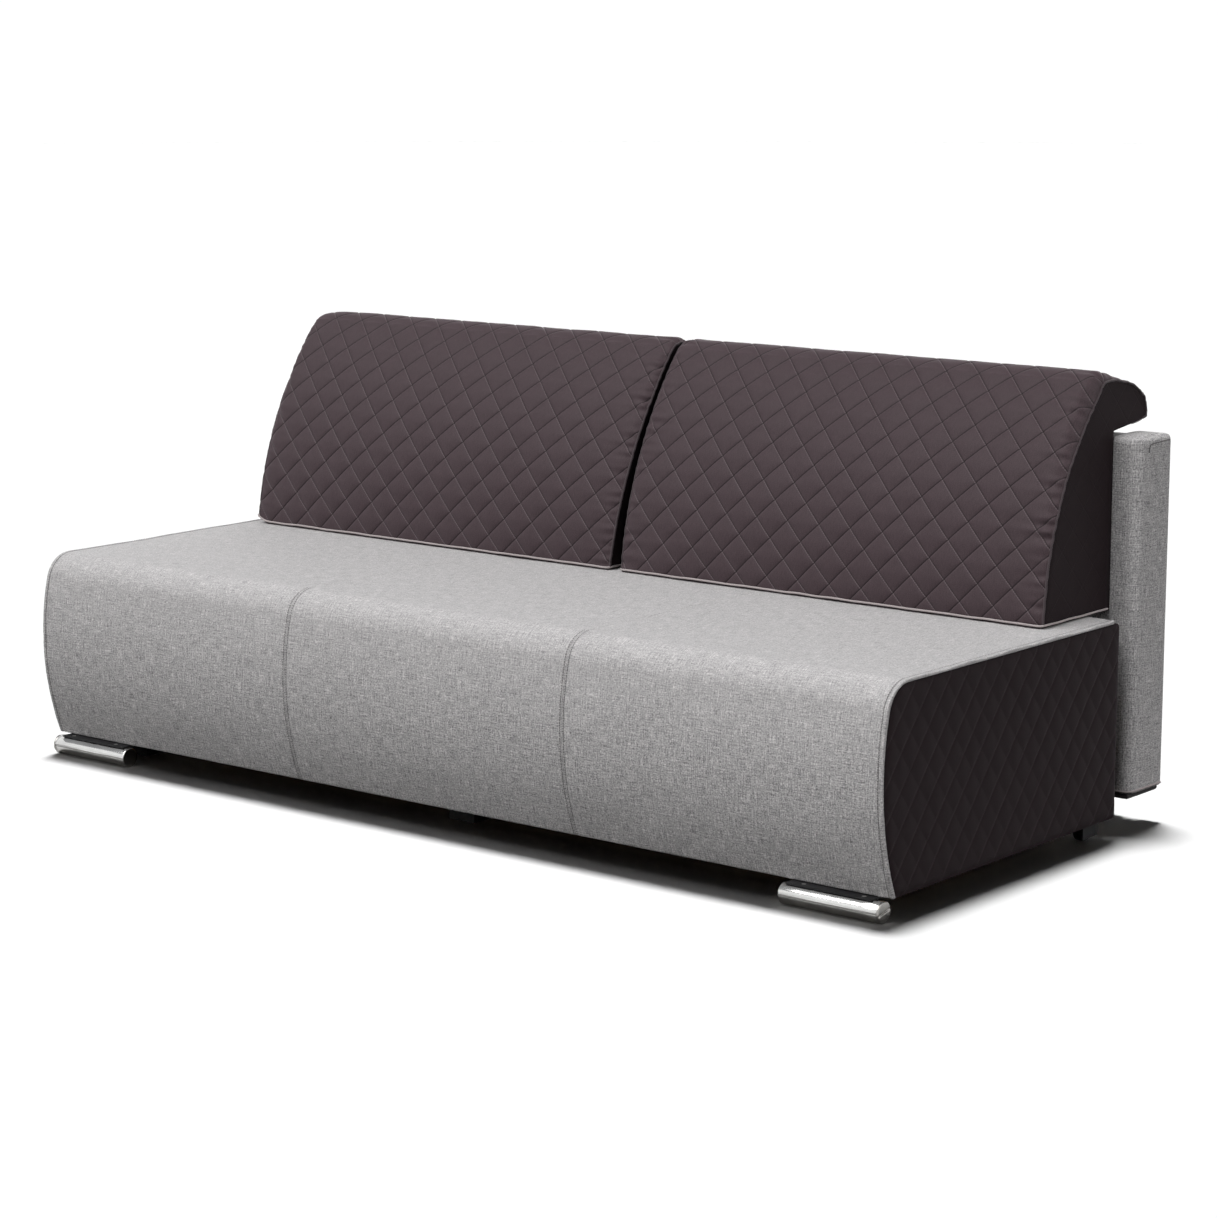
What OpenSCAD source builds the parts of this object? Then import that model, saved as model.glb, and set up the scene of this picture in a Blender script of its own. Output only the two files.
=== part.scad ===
// Armless sofa bed. The seat pulls forward off its bedding box, and the back swings over the box
// on two arms and lies down level with the seat. Two loose quilted cushions lean on the back.
// Millimetres. X runs along the sofa, +Y to its rear, +Z up. The origin is on the floor, below the
// middle of the whole outline.

/* [Seat] */
// Width of the seat over its quilted ends
seat_w = 2000; // [1700:10:2300]
// Depth of the seat from the bulge of its front to its rear edge
seat_d = 740; // [720:5:800]
// Height of the seat's top
seat_h = 400; // [395:5:430]
// Height of the front and the ends above the floor
floor_gap = 40; // [36:1:50]
// Thickness of the deck, from the lining to the top
deck_t = 110; // [104:1:125]
// Height at which the front bulges furthest
bulge_z = 235; // [215:5:260]
// Radius of the bowed front, seen from the end
bow_r = 495; // [470:5:700]
// Radius of the front's top edge
edge_r = 60; // [45:1:70]
// Radius of the seat's rear top edge
rear_edge_r = 15; // [10:1:25]
// Thickness of the fabric with its wadding
cloth_t = 6; // [4:0.5:8]
// Thickness of the quilted end covers
quilt_t = 15; // [12:1:20]

/* [Boards] */
// Thickness of the boards
board_t = 18; // [16:1:20]
// Least padding between the front board and its fabric
front_pad = 9; // [6:1:14]
// Depth of the batten behind the front board
batten_d = 30; // [24:1:36]
// Height of the batten behind the front board
batten_h = 45; // [35:1:60]
// Width of the deck's rails
rail_w = 45; // [38:1:60]
// Width of the deck's slats
slat_w = 40; // [30:1:60]
// Number of slats in the deck
slat_count = 11; // [11:1:14]
// Thickness of the elastic webbing
web_t = 2; // [1.5:0.5:3]
// Width of one strap of webbing
web_w = 70; // [50:5:80]
// Number of straps of webbing
web_count = 12; // [8:1:14]

/* [Front legs] */
// Radius of a chrome leg
leg_r = 19; // [17:0.5:20]
// Length of a chrome leg
leg_l = 200; // [150:5:260]
// Distance of a leg's outer end from the end of the seat
leg_inset = 15; // [10:1:60]
// Distance of a leg's axis behind the bulge of the front
leg_back = 30; // [26:1:40]
// Thickness of the plate over a leg
leg_plate_t = 3; // [2:0.5:4]
// Radius of a leg's bolts
bolt_r = 4; // [3:0.5:5]
// Distance of a leg's bolts from the leg's ends
bolt_in = 40; // [30:1:50]

/* [Bedding box] */
// Clearance between the batten and the box
box_front_gap = 12; // [8:1:20]
// Distance of the box's rear in front of the seat's rear edge
box_rear_in = 42; // [40:1:70]
// Width of the side passage, from the box to the seat's end boards
passage_w = 77; // [77:1:90]
// Height of the box's feet
foot_h = 20; // [16:1:24]
// Side of a foot
foot_w = 60; // [40:5:80]
// Thickness of the felt strips on the box
felt_t = 2; // [1:0.5:3]
// Thickness of the box's floor
floor_t = 6; // [4:1:10]
// Width of the cleats that carry the floor
cleat_w = 20; // [15:1:30]

/* [Back] */
// Width of the back panel
back_w = 1970; // [1670:10:2270]
// Gap between the seat and the upright back
back_gap = 57; // [50:1:60]
// Thickness of the back panel
back_t = 113; // [105:1:120]
// Height of the back panel's lower edge
back_low = 70; // [66:1:85]
// Height of the back panel's top
back_top = 705; // [660:5:730]
// Radius of the back panel's upright edges
back_edge_r = 25; // [15:1:35]
// Thickness of the back panel's fabric with its wadding
back_cloth_t = 5; // [3:0.5:7]
// Depth of the padding in front of the back's frame
back_pad_t = 40; // [30:1:45]
// Thickness of the back's frame
back_frame_t = 35; // [30:1:40]
// Depth of the dark strip under the back panel
hem_t = 6; // [4:1:8]
// Number of studs in the back's frame
stud_count = 11; // [11:1:14]

/* [Mechanism] */
// Travel of the seat
seat_travel = 500; // [480:5:520]
// Gap between the seat and the back when both lie level
bed_gap = 14; // [12:1:20]
// Height of the arms' pivot
pivot_z = 55; // [50:1:60]
// Height of the back's hinge above its lower edge
hinge_up = 42; // [38:1:48]
// Distance of the back's hinge behind its front face
hinge_in = 92; // [88:1:96]
// Thickness of a swing arm
arm_t = 8; // [6:1:10]
// Width of a swing arm
arm_w = 32; // [24:1:36]
// Outer radius of the torsion tube
tube_r = 14; // [12:0.5:16]
// Wall of the torsion tube
tube_wall = 2.5; // [1.5:0.5:4]
// Radius of the hinge pins
pin_r = 7; // [5:0.5:8]
// Distance from the box's side to the middle of an arm
arm_out = 41; // [39:1:43]
// Width of the pocket in the back for an arm
pocket_w = 38; // [34:1:42]
// Height of that pocket
pocket_h = 100; // [100:1:115]
// Thickness of the steel plates
plate_t = 4; // [3:0.5:5]
// Height of a runner bar
runner_h = 25; // [20:1:30]
// Thickness of a runner bar
runner_t = 10; // [8:1:12]
// Length of a guide channel
channel_l = 220; // [200:5:240]
// Height of a runner's centre
runner_z = 200; // [180:5:220]
// Radius of a castor wheel
wheel_r = 20; // [18:1:24]
// Width of a castor wheel
wheel_w = 14; // [12:1:16]
// Radius of a castor's axle
axle_r = 5; // [4:0.5:6]
// Distance of a castor in front of the seat's rear edge
wheel_in = 38; // [34:1:50]
// Gap between a runner bar and the box's side
runner_out = 4; // [3.5:0.5:6]

/* [Cushions] */
// Width of one cushion
cushion_w = 932; // [780:2:1080]
// Gap between the two cushions
cushion_gap = 12; // [10:1:20]
// Depth of a cushion where it stands on the seat
cushion_foot = 228; // [220:1:240]
// Height of a cushion's crest above the seat
cushion_rise = 432; // [400:1:450]
// Distance that a cushion's nose reaches past the back
nose_out = 5; // [4:1:8]
// Bow of a cushion's front, seen from the end
front_bow = 33; // [20:1:40]
// Crown of a cushion's front, from its ends to its middle
crown = 8; // [4:1:12]
// Height of the quilting's relief
relief = 5; // [2:0.5:7]
// Half of a quilted diamond's diagonal
quilt_half = 36.5; // [36.5:0.5:45]
// Radius of the piping
piping_r = 2.5; // [2:0.5:3]
// Wall of a cushion's cover and wadding round its core
cover_wall = 24; // [20:1:28]

/* [Hidden] */
// Clearance between soft pieces on different bodies
soft_gap = 0.3;
// Running clearance of the pins, the axles and the tube
run_gap = 0.05;
// Clearance between a fabric and what it covers
lay_gap = 0.2;
// Smooth curves, and the sides of the thin piping
fine = 64;
piping_sides = 8;
// Fabric widths in the seat cover, one node each
cover_parts = 3;
// Distance of the seat cover's ends from the ends of the whole seat
cover_in = 4;
// Overshoot of a cutting solid
over = 1;

half_w = seat_w / 2;
y_front = -(seat_d + back_gap + back_t + nose_out) / 2;
seat_rear = y_front + seat_d;
back_front = seat_rear + back_gap;
back_rear = back_front + back_t;
nose_y = back_rear + nose_out;
deck_z = seat_h - deck_t;
lining_t = 2;
rail_z = deck_z + lining_t;
rail_h = 45;
web_z = rail_z + rail_h;
foam_z = web_z + web_t;

// Centres of the bowed front and of its top edge
bow_y = y_front + bow_r;
edge_z = seat_h - edge_r;
edge_y = bow_y - sqrt(pow(bow_r - edge_r, 2) - pow(edge_z - bulge_z, 2));
edge_angle = atan2(edge_z - bulge_z, edge_y - bow_y);

// End boards, front board and box
end_out = half_w - quilt_t;
end_in = end_out - board_t;
front_board_y = bow_y - sqrt(pow(bow_r - cloth_t, 2) - pow(bulge_z - floor_gap, 2)) + front_pad;
front_board_back = front_board_y + board_t;
box_x = end_in - passage_w;
box_y0 = front_board_back + batten_d + box_front_gap;
box_y1 = seat_rear - box_rear_in;
// Underside of the back when it lies level with the seat
flat_z = seat_h - back_t;
box_z1 = flat_z - soft_gap - felt_t;
inner_x = box_x - board_t;

// The arms swing the back's hinge from its upright place to its level place about one pivot.
// The pivot lies on the line that is equally far from both places.
hinge_y = back_front + hinge_in;
hinge_z = back_low + hinge_up;
flat_start = seat_rear - seat_travel + bed_gap;
level_y = flat_start + hinge_up;
level_z = seat_h - hinge_in;
pivot_y = (hinge_y + level_y) / 2
    + (pivot_z - (hinge_z + level_z) / 2) * (hinge_z - level_z) / (level_y - hinge_y);
arm_l = norm([hinge_y - pivot_y, hinge_z - pivot_z]);
arm_angle = atan2(hinge_z - pivot_z, hinge_y - pivot_y);
arm_sweep = atan2(level_z - pivot_z, level_y - pivot_y) - arm_angle;
pocket_x = box_x + arm_out;
arm_x = pocket_x - arm_t / 2;
floor_z = pivot_z + tube_r + 4;
bush_r = tube_r + 6;

// Cushion outline: a bowed front, a round crest, a slope, a nose and a flat underside
cushion_z = seat_h + soft_gap;
cushion_rear = back_front - soft_gap;
cushion_front = cushion_rear - cushion_foot;
crest_z = seat_h + cushion_rise;
crest_r = 47;
crest_in = 36;
crest_y = cushion_rear - crest_in;
crest_start = 145;
slope_angle = 69.5;
nose_r = 30;
tip_r = 18;
nose_z = back_top + soft_gap;
nose_rise = 51;
nose_top_z = nose_z + nose_rise;
cushion_x0 = cushion_gap / 2;

linen = [0.62, 0.6, 0.59];
plum = [0.27, 0.23, 0.25];
foam_white = [0.93, 0.9, 0.78];
pine = [0.82, 0.68, 0.48];
chip = [0.76, 0.63, 0.45];
black_steel = [0.16, 0.16, 0.17];
bright_steel = [0.7, 0.71, 0.73];
chrome_tone = [0.86, 0.87, 0.89];
felt_tone = [0.3, 0.3, 0.3];
nylon_tone = [0.12, 0.12, 0.13];
piping_tone = [0.72, 0.68, 0.69];

// Points of an arc about [y, z]
function arc(y, z, r, a0, a1, n) =
    [for (k = [0 : n]) let (a = a0 + (a1 - a0) * k / n) [y + r * cos(a), z + r * sin(a)]];

// A list in reverse order
function reversed(list) = [for (k = [len(list) - 1 : -1 : 0]) list[k]];

// Outline of the seat from its front's foot over the top to its rear, drawn in by inset
function seat_path(inset, low_z, rear_z) = concat(
    arc(bow_y, bulge_z, bow_r - inset, 180 + asin((bulge_z - low_z) / (bow_r - inset)),
        edge_angle, 16),
    arc(edge_y, edge_z, edge_r - inset, edge_angle, 90, 8),
    arc(seat_rear - rear_edge_r, seat_h - rear_edge_r, rear_edge_r - inset, 90, 0, 4),
    [[seat_rear - inset, rear_z]]
);

// Distance of the seat's outline from the front at height z
function seat_front_at(z, inset) =
    z <= bulge_z + (bow_r - inset) * sin(edge_angle)
        ? bow_y - sqrt(pow(bow_r - inset, 2) - pow(z - bulge_z, 2))
        : edge_y - sqrt(max(0, pow(edge_r - inset, 2) - pow(z - edge_z, 2)));

// Rear of the seat's outline at height z
function seat_rear_at(z, inset) =
    let (rise = max(0, z - (seat_h - rear_edge_r)))
    seat_rear - rear_edge_r + sqrt(max(0, pow(rear_edge_r - inset, 2) - pow(rise, 2)));

// Extrudes a [y, z] outline from x0 to x1
module along_x(x0, x1) {
    translate([x0, 0, 0]) rotate([90, 0, 90]) linear_extrude(x1 - x0) children();
}

// A box between two corners
module block(low, high) {
    translate(low) cube(high - low);
}

// A round bar along X from x0 to x1 at [y, z]
module bar_x(x0, x1, y, z, r, sides = fine) {
    translate([x0, y, z]) rotate([0, 90, 0]) cylinder(h = x1 - x0, r = r, $fn = sides);
}

// Draws on the right, or mirrored on the left
module on_side(right) {
    if (right) children();
    else mirror([1, 0, 0]) children();
}

// Bedding box
module box_front() {
    color(chip) block([-box_x, box_y0, foot_h], [box_x, box_y0 + board_t, box_z1]);
}

module box_rear() {
    color(chip) block([-box_x, box_y1 - board_t, foot_h], [box_x, box_y1, box_z1]);
}

module box_side(right) {
    on_side(right) color(chip) difference() {
        block([inner_x, box_y0 + board_t, foot_h], [box_x, box_y1 - board_t, box_z1]);
        bar_x(inner_x - over, box_x + over, pivot_y, pivot_z, bush_r);
    }
}

module box_divider() {
    color(chip) block([-board_t / 2, box_y0 + board_t, floor_z + floor_t],
        [board_t / 2, box_y1 - board_t, box_z1]);
}

module box_floor() {
    color(pine) block([-inner_x, box_y0 + board_t, floor_z],
        [inner_x, box_y1 - board_t, floor_z + floor_t]);
}

// Cleats under the floor along the front and the rear board
module floor_cleats() {
    color(pine) for (y = [box_y0 + board_t, box_y1 - board_t - cleat_w])
        block([-inner_x, y, floor_z - cleat_w], [inner_x, y + cleat_w, floor_z]);
}

// Upright blocks in the corners of the box
module corner_blocks() {
    color(pine) for (x = [-inner_x, inner_x - cleat_w],
            y = [box_y0 + board_t, box_y1 - board_t - cleat_w])
        block([x, y, floor_z + floor_t], [x + cleat_w, y + cleat_w, box_z1 - cleat_w]);
}

module base_feet() {
    color(nylon_tone) for (x = [-box_x + foot_w / 2, 0, box_x - foot_w / 2],
            y = [box_y0 + foot_w / 2, box_y1 - foot_w / 2])
        translate([x - foot_w / 2, y - foot_w / 2, 0]) cube([foot_w, foot_w, foot_h]);
}

module felt_strips() {
    color(felt_tone) {
        for (y = [box_y0, box_y1 - board_t])
            block([-box_x, y, box_z1], [box_x, y + board_t, box_z1 + felt_t]);
        for (x = [-box_x, box_x - board_t])
            block([x, box_y0 + board_t, box_z1], [x + board_t, box_y1 - board_t, box_z1 + felt_t]);
    }
}

// Guide channel on the box's side, open away from the box
module guide_channel(right) {
    wall = 3;
    slot_h = runner_h + 2 * soft_gap;
    depth = wall + runner_t + runner_out;
    y0 = box_y0 + wall;
    on_side(right) color(bright_steel) {
        difference() {
            block([box_x, y0, runner_z - slot_h / 2 - wall],
                [box_x + depth, y0 + channel_l, runner_z + slot_h / 2 + wall]);
            block([box_x + wall, y0 - over, runner_z - slot_h / 2],
                [box_x + depth + over, y0 + channel_l + over, runner_z + slot_h / 2]);
        }
    }
}

// Steel plate that bears the torsion tube on the box's side
module pivot_plate(right) {
    half_plate = 45;
    plate_low = foot_h + 5;
    plate_top = pivot_z + 60;
    on_side(right) color(black_steel) difference() {
        block([box_x, pivot_y - half_plate, plate_low],
            [box_x + plate_t, pivot_y + half_plate, plate_top]);
        bar_x(box_x - over, box_x + plate_t + over, pivot_y, pivot_z, tube_r + run_gap);
    }
}

module pivot_bushes() {
    color(nylon_tone) for (right = [true, false]) on_side(right) difference() {
        bar_x(inner_x, box_x, pivot_y, pivot_z, bush_r);
        bar_x(inner_x - over, box_x + over, pivot_y, pivot_z, tube_r + run_gap);
    }
}

// Seat: rails and slats of the deck
module seat_rails() {
    color(pine) for (y = [front_board_back, seat_rear - cloth_t - lay_gap - rail_w])
        block([-end_in, y, rail_z], [end_in, y + rail_w, web_z]);
}

module seat_slats() {
    y0 = front_board_back + rail_w;
    y1 = seat_rear - cloth_t - lay_gap - rail_w;
    pitch = (2 * end_in - slat_w) / (slat_count - 1);
    color(pine) for (k = [0 : slat_count - 1])
        block([-end_in + k * pitch, y0, rail_z], [-end_in + k * pitch + slat_w, y1, web_z]);
}

// Straps of webbing from the front rail to the rear rail
module seat_webbing() {
    end_margin = 5;
    side_margin = 30;
    y0 = front_board_back + end_margin;
    y1 = seat_rear - cloth_t - lay_gap - end_margin;
    pitch = (2 * (end_in - side_margin) - web_w) / (web_count - 1);
    color(felt_tone) for (k = [0 : web_count - 1])
        translate([-end_in + side_margin + k * pitch, y0, web_z]) cube([web_w, y1 - y0, web_t]);
}

// Slab of foam over the deck, with the round front edge
module seat_foam() {
    inset = cloth_t + lay_gap;
    slab = seat_path(inset, foam_z, foam_z);
    color(foam_white) along_x(-end_in, end_in) polygon(slab);
}

// Bowed padding on the front board
module front_foam() {
    inset = cloth_t + lay_gap;
    steps = 12;
    bow = [for (k = [0 : steps]) let (z = floor_gap + (foam_z - floor_gap) * k / steps)
        [seat_front_at(z, inset), z]];
    color(foam_white) along_x(-end_in, end_in)
        polygon(concat(bow, [[front_board_y, foam_z], [front_board_y, floor_gap]]));
}

// Cloth under the deck
module seat_lining() {
    color(felt_tone) block([-end_in, front_board_back, deck_z],
        [end_in, seat_rear - cloth_t - lay_gap, rail_z]);
}

// Fabric over the front, the top and the rear, one width of it
module seat_cover(part) {
    span = 2 * (half_w - cover_in);
    x0 = -span / 2 + span * part / cover_parts;
    shell = concat(seat_path(0, floor_gap, deck_z),
        reversed(seat_path(cloth_t, floor_gap, deck_z)));
    color(linen) along_x(x0, x0 + span / cover_parts) polygon(shell);
}

module front_board() {
    color(chip) block([-end_in, front_board_y, floor_gap], [end_in, front_board_back, web_z]);
}

module front_batten() {
    color(pine) block([-end_in, front_board_back, floor_gap],
        [end_in, front_board_back + batten_d, floor_gap + batten_h]);
}

// End board, shaped as the seat's outline
module end_board(right) {
    outline = seat_path(cloth_t + lay_gap, floor_gap, floor_gap);
    on_side(right) color(chip) along_x(end_in, end_out) polygon(outline);
}

// Quilted end cover: a sheared grid of diamonds with low seams and raised centres
module end_cover(right) {
    inset = cloth_t + lay_gap;
    top = seat_h - inset;
    rows = round((top - floor_gap) / quilt_half);
    cols = round((seat_rear - inset - y_front) / quilt_half);
    edge_t = quilt_t - relief;
    points = [for (side = [0, 1], j = [0 : rows], i = [0 : cols])
        let (
            z = floor_gap + (top - floor_gap) * j / rows,
            y0 = seat_front_at(z, inset),
            y1 = seat_rear_at(z, inset),
            inside = i > 0 && i < cols && j > 0 && j < rows,
            puff = inside && (i + j) % 2 == 1 ? relief : inside ? relief / 4 : 0
        )
        [side == 0 ? end_out : end_out + edge_t + puff, y0 + (y1 - y0) * i / cols, z]];
    on_side(right) color(plum)
        polyhedron(points = points, faces = slab_faces(cols, rows));
}

// Faces of a slab whose two sides are grids of cols by rows cells. Point order: side, row, column.
// The far side's cells are cut along the seams, which join the points of even i + j.
function slab_faces(cols, rows) =
    let (
        w = cols + 1,
        far = w * (rows + 1)
    )
    concat(
        [for (j = [0 : rows - 1], i = [0 : cols - 1], t = [0, 1])
            let (a = far + j * w + i, b = a + 1, c = a + w, d = c + 1)
            (i + j) % 2 == 0
                ? (t == 0 ? [a, d, b] : [a, c, d])
                : (t == 0 ? [a, c, b] : [b, c, d])],
        [for (j = [0 : rows - 1], i = [0 : cols - 1], t = [0, 1])
            let (a = j * w + i, b = a + 1, c = a + w, d = c + 1)
            (i + j) % 2 == 0
                ? (t == 0 ? [a, b, d] : [a, d, c])
                : (t == 0 ? [a, b, c] : [b, d, c])],
        [for (i = [0 : cols - 1], t = [0, 1])
            let (a = i, b = i + 1, c = far + i, d = c + 1)
            t == 0 ? [a, c, b] : [b, c, d]],
        [for (i = [0 : cols - 1], t = [0, 1])
            let (a = rows * w + i, b = a + 1, c = far + a, d = c + 1)
            t == 0 ? [a, b, c] : [b, d, c]],
        [for (j = [0 : rows - 1], t = [0, 1])
            let (a = j * w, b = a + w, c = far + a, d = c + w)
            t == 0 ? [a, b, c] : [b, d, c]],
        [for (j = [0 : rows - 1], t = [0, 1])
            let (a = j * w + cols, b = a + w, c = far + a, d = c + w)
            t == 0 ? [a, c, b] : [b, c, d]]
    );

// Chrome leg: a bar lying along the front, with a flat for its plate
leg_y = y_front + leg_back;
leg_x1 = half_w - leg_inset;
leg_x0 = leg_x1 - leg_l;
leg_top = floor_gap - leg_plate_t;
leg_bolt_xs = [leg_x0 + bolt_in, leg_x1 - bolt_in];
batten_bolt_xs = [leg_x0 + bolt_in, end_in - bolt_in];
batten_bolt_y = front_board_back + batten_d / 2;

module front_leg(right) {
    on_side(right) color(chrome_tone) difference() {
        bar_x(leg_x0, leg_x1, leg_y, leg_r, leg_r);
        block([leg_x0 - over, leg_y - leg_r, leg_top],
            [leg_x1 + over, leg_y + leg_r, leg_top + 2 * leg_r]);
        for (x = leg_bolt_xs)
            translate([x, leg_y, leg_r]) cylinder(h = leg_r * 2, r = bolt_r, $fn = fine);
    }
}

// Plates between the legs and the batten
module leg_plates() {
    plate_in = 10;
    color(black_steel) for (right = [true, false]) on_side(right) difference() {
        block([leg_x0 + plate_in, leg_y - plate_in, leg_top],
            [min(leg_x1 - plate_in, end_in), front_board_back + batten_d, floor_gap]);
        for (x = leg_bolt_xs)
            translate([x, leg_y, 0]) cylinder(h = 2 * floor_gap, r = bolt_r, $fn = fine);
        for (x = batten_bolt_xs)
            translate([x, batten_bolt_y, 0]) cylinder(h = 2 * floor_gap, r = bolt_r, $fn = fine);
    }
}

// Bolts from the plates into the legs, and up into the batten
module leg_bolts() {
    head_h = 3;
    head_r = bolt_r + 3;
    color(bright_steel) for (right = [true, false]) on_side(right) {
        for (x = leg_bolt_xs)
            translate([x, leg_y, leg_r]) cylinder(h = floor_gap - leg_r, r = bolt_r, $fn = fine);
        for (x = batten_bolt_xs)
            translate([x, batten_bolt_y, leg_top - head_h]) {
                cylinder(h = head_h, r = head_r, $fn = 6);
                cylinder(h = head_h + leg_plate_t, r = bolt_r, $fn = fine);
            }
    }
}

// Runner bar on its bracket behind the front board
module runner(right) {
    x0 = box_x + runner_out;
    half_bracket = 1.6 * runner_h;
    bracket_in = runner_t;
    bracket_out = 4.6 * runner_t;
    rear_in = 20;
    on_side(right) color(bright_steel) {
        block([x0 - bracket_in, front_board_back, runner_z - half_bracket],
            [x0 + bracket_out, front_board_back + plate_t, runner_z + half_bracket]);
        block([x0, front_board_back + plate_t, runner_z - runner_h / 2],
            [x0 + runner_t, seat_rear - rear_in, runner_z + runner_h / 2]);
    }
}

// Castor at the rear of an end board
wheel_z = wheel_r + soft_gap;
wheel_y = seat_rear - wheel_in;
wheel_x1 = end_in - plate_t - 6;
wheel_x0 = wheel_x1 - wheel_w;

module castor_bracket(right) {
    half_bracket = 25;
    bracket_h = 90;
    head_t = 3;
    side_play = 1;
    head_x = wheel_x0 - side_play - head_t;
    low_z = wheel_z - 12;
    on_side(right) color(black_steel) {
        block([end_in - plate_t, wheel_y - half_bracket, low_z],
            [end_in, wheel_y + half_bracket, wheel_z + bracket_h]);
        bar_x(head_x + head_t / 2, end_in - plate_t, wheel_y, wheel_z, axle_r);
        bar_x(head_x, head_x + head_t, wheel_y, wheel_z, axle_r + head_t);
    }
}

module castor_wheel(right) {
    on_side(right) color(nylon_tone) difference() {
        bar_x(wheel_x0, wheel_x1, wheel_y, wheel_z, wheel_r);
        bar_x(wheel_x0 - over, wheel_x1 + over, wheel_y, wheel_z, axle_r + run_gap);
    }
}

// Swing arm from the torsion tube to the back's hinge
module swing_arm(right) {
    eye_r = arm_w / 2 + 3;
    on_side(right) color(black_steel) difference() {
        union() {
            translate([arm_x, pivot_y, pivot_z]) rotate([arm_angle, 0, 0])
                translate([0, 0, -arm_w / 2]) cube([arm_t, arm_l, arm_w]);
            bar_x(arm_x, arm_x + arm_t, pivot_y, pivot_z, eye_r);
            bar_x(arm_x, arm_x + arm_t, hinge_y, hinge_z, eye_r);
        }
        bar_x(arm_x - over, arm_x + arm_t + over, hinge_y, hinge_z, pin_r + run_gap);
    }
}

module torsion_tube() {
    color(black_steel) difference() {
        bar_x(-arm_x, arm_x, pivot_y, pivot_z, tube_r);
        bar_x(-arm_x - over, arm_x + over, pivot_y, pivot_z, tube_r - tube_wall);
    }
}

// Places of the back's frame, and the top of its pockets
back_inner_top = back_top - back_cloth_t - lay_gap;
frame_y0 = back_front + back_cloth_t + back_pad_t;
frame_y1 = frame_y0 + back_frame_t;
sill_z = back_low + pocket_h;

// Upright slab with round upright edges, drawn in by inset
module back_prism(inset, z0, z1) {
    x = back_w / 2 - inset;
    y0 = back_front + inset;
    y1 = back_rear - inset;
    r = back_edge_r - inset;
    translate([0, 0, z0]) linear_extrude(z1 - z0) union() {
        translate([-x + r, y0]) square([2 * (x - r), y1 - y0]);
        translate([-x, y0 + r]) square([2 * x, y1 - y0 - 2 * r]);
        for (cx = [-x + r, x - r], cy = [y0 + r, y1 - r])
            translate([cx, cy]) circle(r = r, $fn = fine);
    }
}

// Pockets for the arms through the lower edge of the back
module arm_pockets() {
    for (right = [true, false]) on_side(right)
        block([pocket_x - pocket_w / 2, back_front - over, back_low - hem_t - over],
            [pocket_x + pocket_w / 2, back_rear + over, sill_z]);
}

// One upright layer of the back's inside
module back_layer(y0, y1, z0, z1) {
    difference() {
        intersection() {
            back_prism(back_cloth_t + lay_gap, z0, z1);
            block([-back_w, y0, z0], [back_w, y1, z1]);
        }
        arm_pockets();
    }
}

module back_pad_front() {
    color(foam_white)
        back_layer(back_front, frame_y0, back_low, back_inner_top);
}

module back_pad_rear() {
    color(foam_white)
        back_layer(frame_y1, back_rear, back_low, back_inner_top);
}

// Rails of the back's frame: lower, above the pockets, and top
module back_rails() {
    color(pine) {
        back_layer(frame_y0, frame_y1, back_low, back_low + rail_w);
        back_layer(frame_y0, frame_y1, sill_z, sill_z + rail_w);
        back_layer(frame_y0, frame_y1, back_inner_top - rail_w, back_inner_top);
    }
}

module back_studs() {
    x = back_w / 2 - back_edge_r;
    pitch = (2 * x - slat_w) / (stud_count - 1);
    color(pine) for (k = [0 : stud_count - 1])
        block([-x + k * pitch, frame_y0, sill_z + rail_w],
            [-x + k * pitch + slat_w, frame_y1, back_inner_top - rail_w]);
}

module back_cover() {
    color(linen) difference() {
        back_prism(0, back_low, back_top);
        back_prism(back_cloth_t, back_low - over, back_top - back_cloth_t);
        arm_pockets();
    }
}

// Dark strip that closes the lower edge
module back_hem() {
    hem_in = 8;
    color(felt_tone) difference() {
        back_prism(hem_in, back_low - hem_t, back_low);
        arm_pockets();
    }
}

// Piping round the lower edge of the back: its front, between the pockets, and both ends. The rear
// has none, because it lies on the box when the back is level.
module back_piping() {
    z = back_low + 1.8 * piping_r;
    straight = back_w / 2 - back_edge_r;
    front_y = back_front - piping_r;
    color(piping_tone) {
        bar_x(-pocket_x + pocket_w / 2, pocket_x - pocket_w / 2, front_y, z, piping_r, piping_sides);
        for (right = [true, false]) on_side(right) {
            bar_x(pocket_x + pocket_w / 2, straight, front_y, z, piping_r, piping_sides);
            translate([back_w / 2 + piping_r, back_front + back_edge_r, z]) rotate([-90, 0, 0])
                cylinder(h = back_t - 2 * back_edge_r, r = piping_r, $fn = piping_sides);
            piping_corner(straight, back_front + back_edge_r, z, -90);
            piping_corner(straight, back_rear - back_edge_r, z, 0);
        }
    }
}

// A quarter turn of piping round an upright edge of the back
module piping_corner(x, y, z, turn) {
    translate([x, y, z]) rotate([0, 0, turn]) rotate_extrude(angle = 90, $fn = fine)
        translate([back_edge_r + piping_r, 0]) circle(r = piping_r, $fn = piping_sides);
}

// Steel channel that lines a pocket and bears the hinge pin
module hinge_channel(right) {
    x0 = pocket_x - pocket_w / 2;
    x1 = pocket_x + pocket_w / 2;
    y0 = back_front + back_cloth_t;
    y1 = back_rear - back_cloth_t;
    on_side(right) color(bright_steel) difference() {
        block([x0, y0, back_low], [x1, y1, sill_z]);
        block([x0 + plate_t, y0 - over, back_low - over],
            [x1 - plate_t, y1 + over, sill_z - plate_t]);
        bar_x(x0 - over, x1 + over, hinge_y, hinge_z, pin_r + run_gap);
    }
}

module hinge_pins() {
    half_pin = pocket_w / 2 - lay_gap;
    color(bright_steel) for (right = [true, false]) on_side(right)
        bar_x(pocket_x - half_pin, pocket_x + half_pin, hinge_y, hinge_z, pin_r);
}

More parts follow.
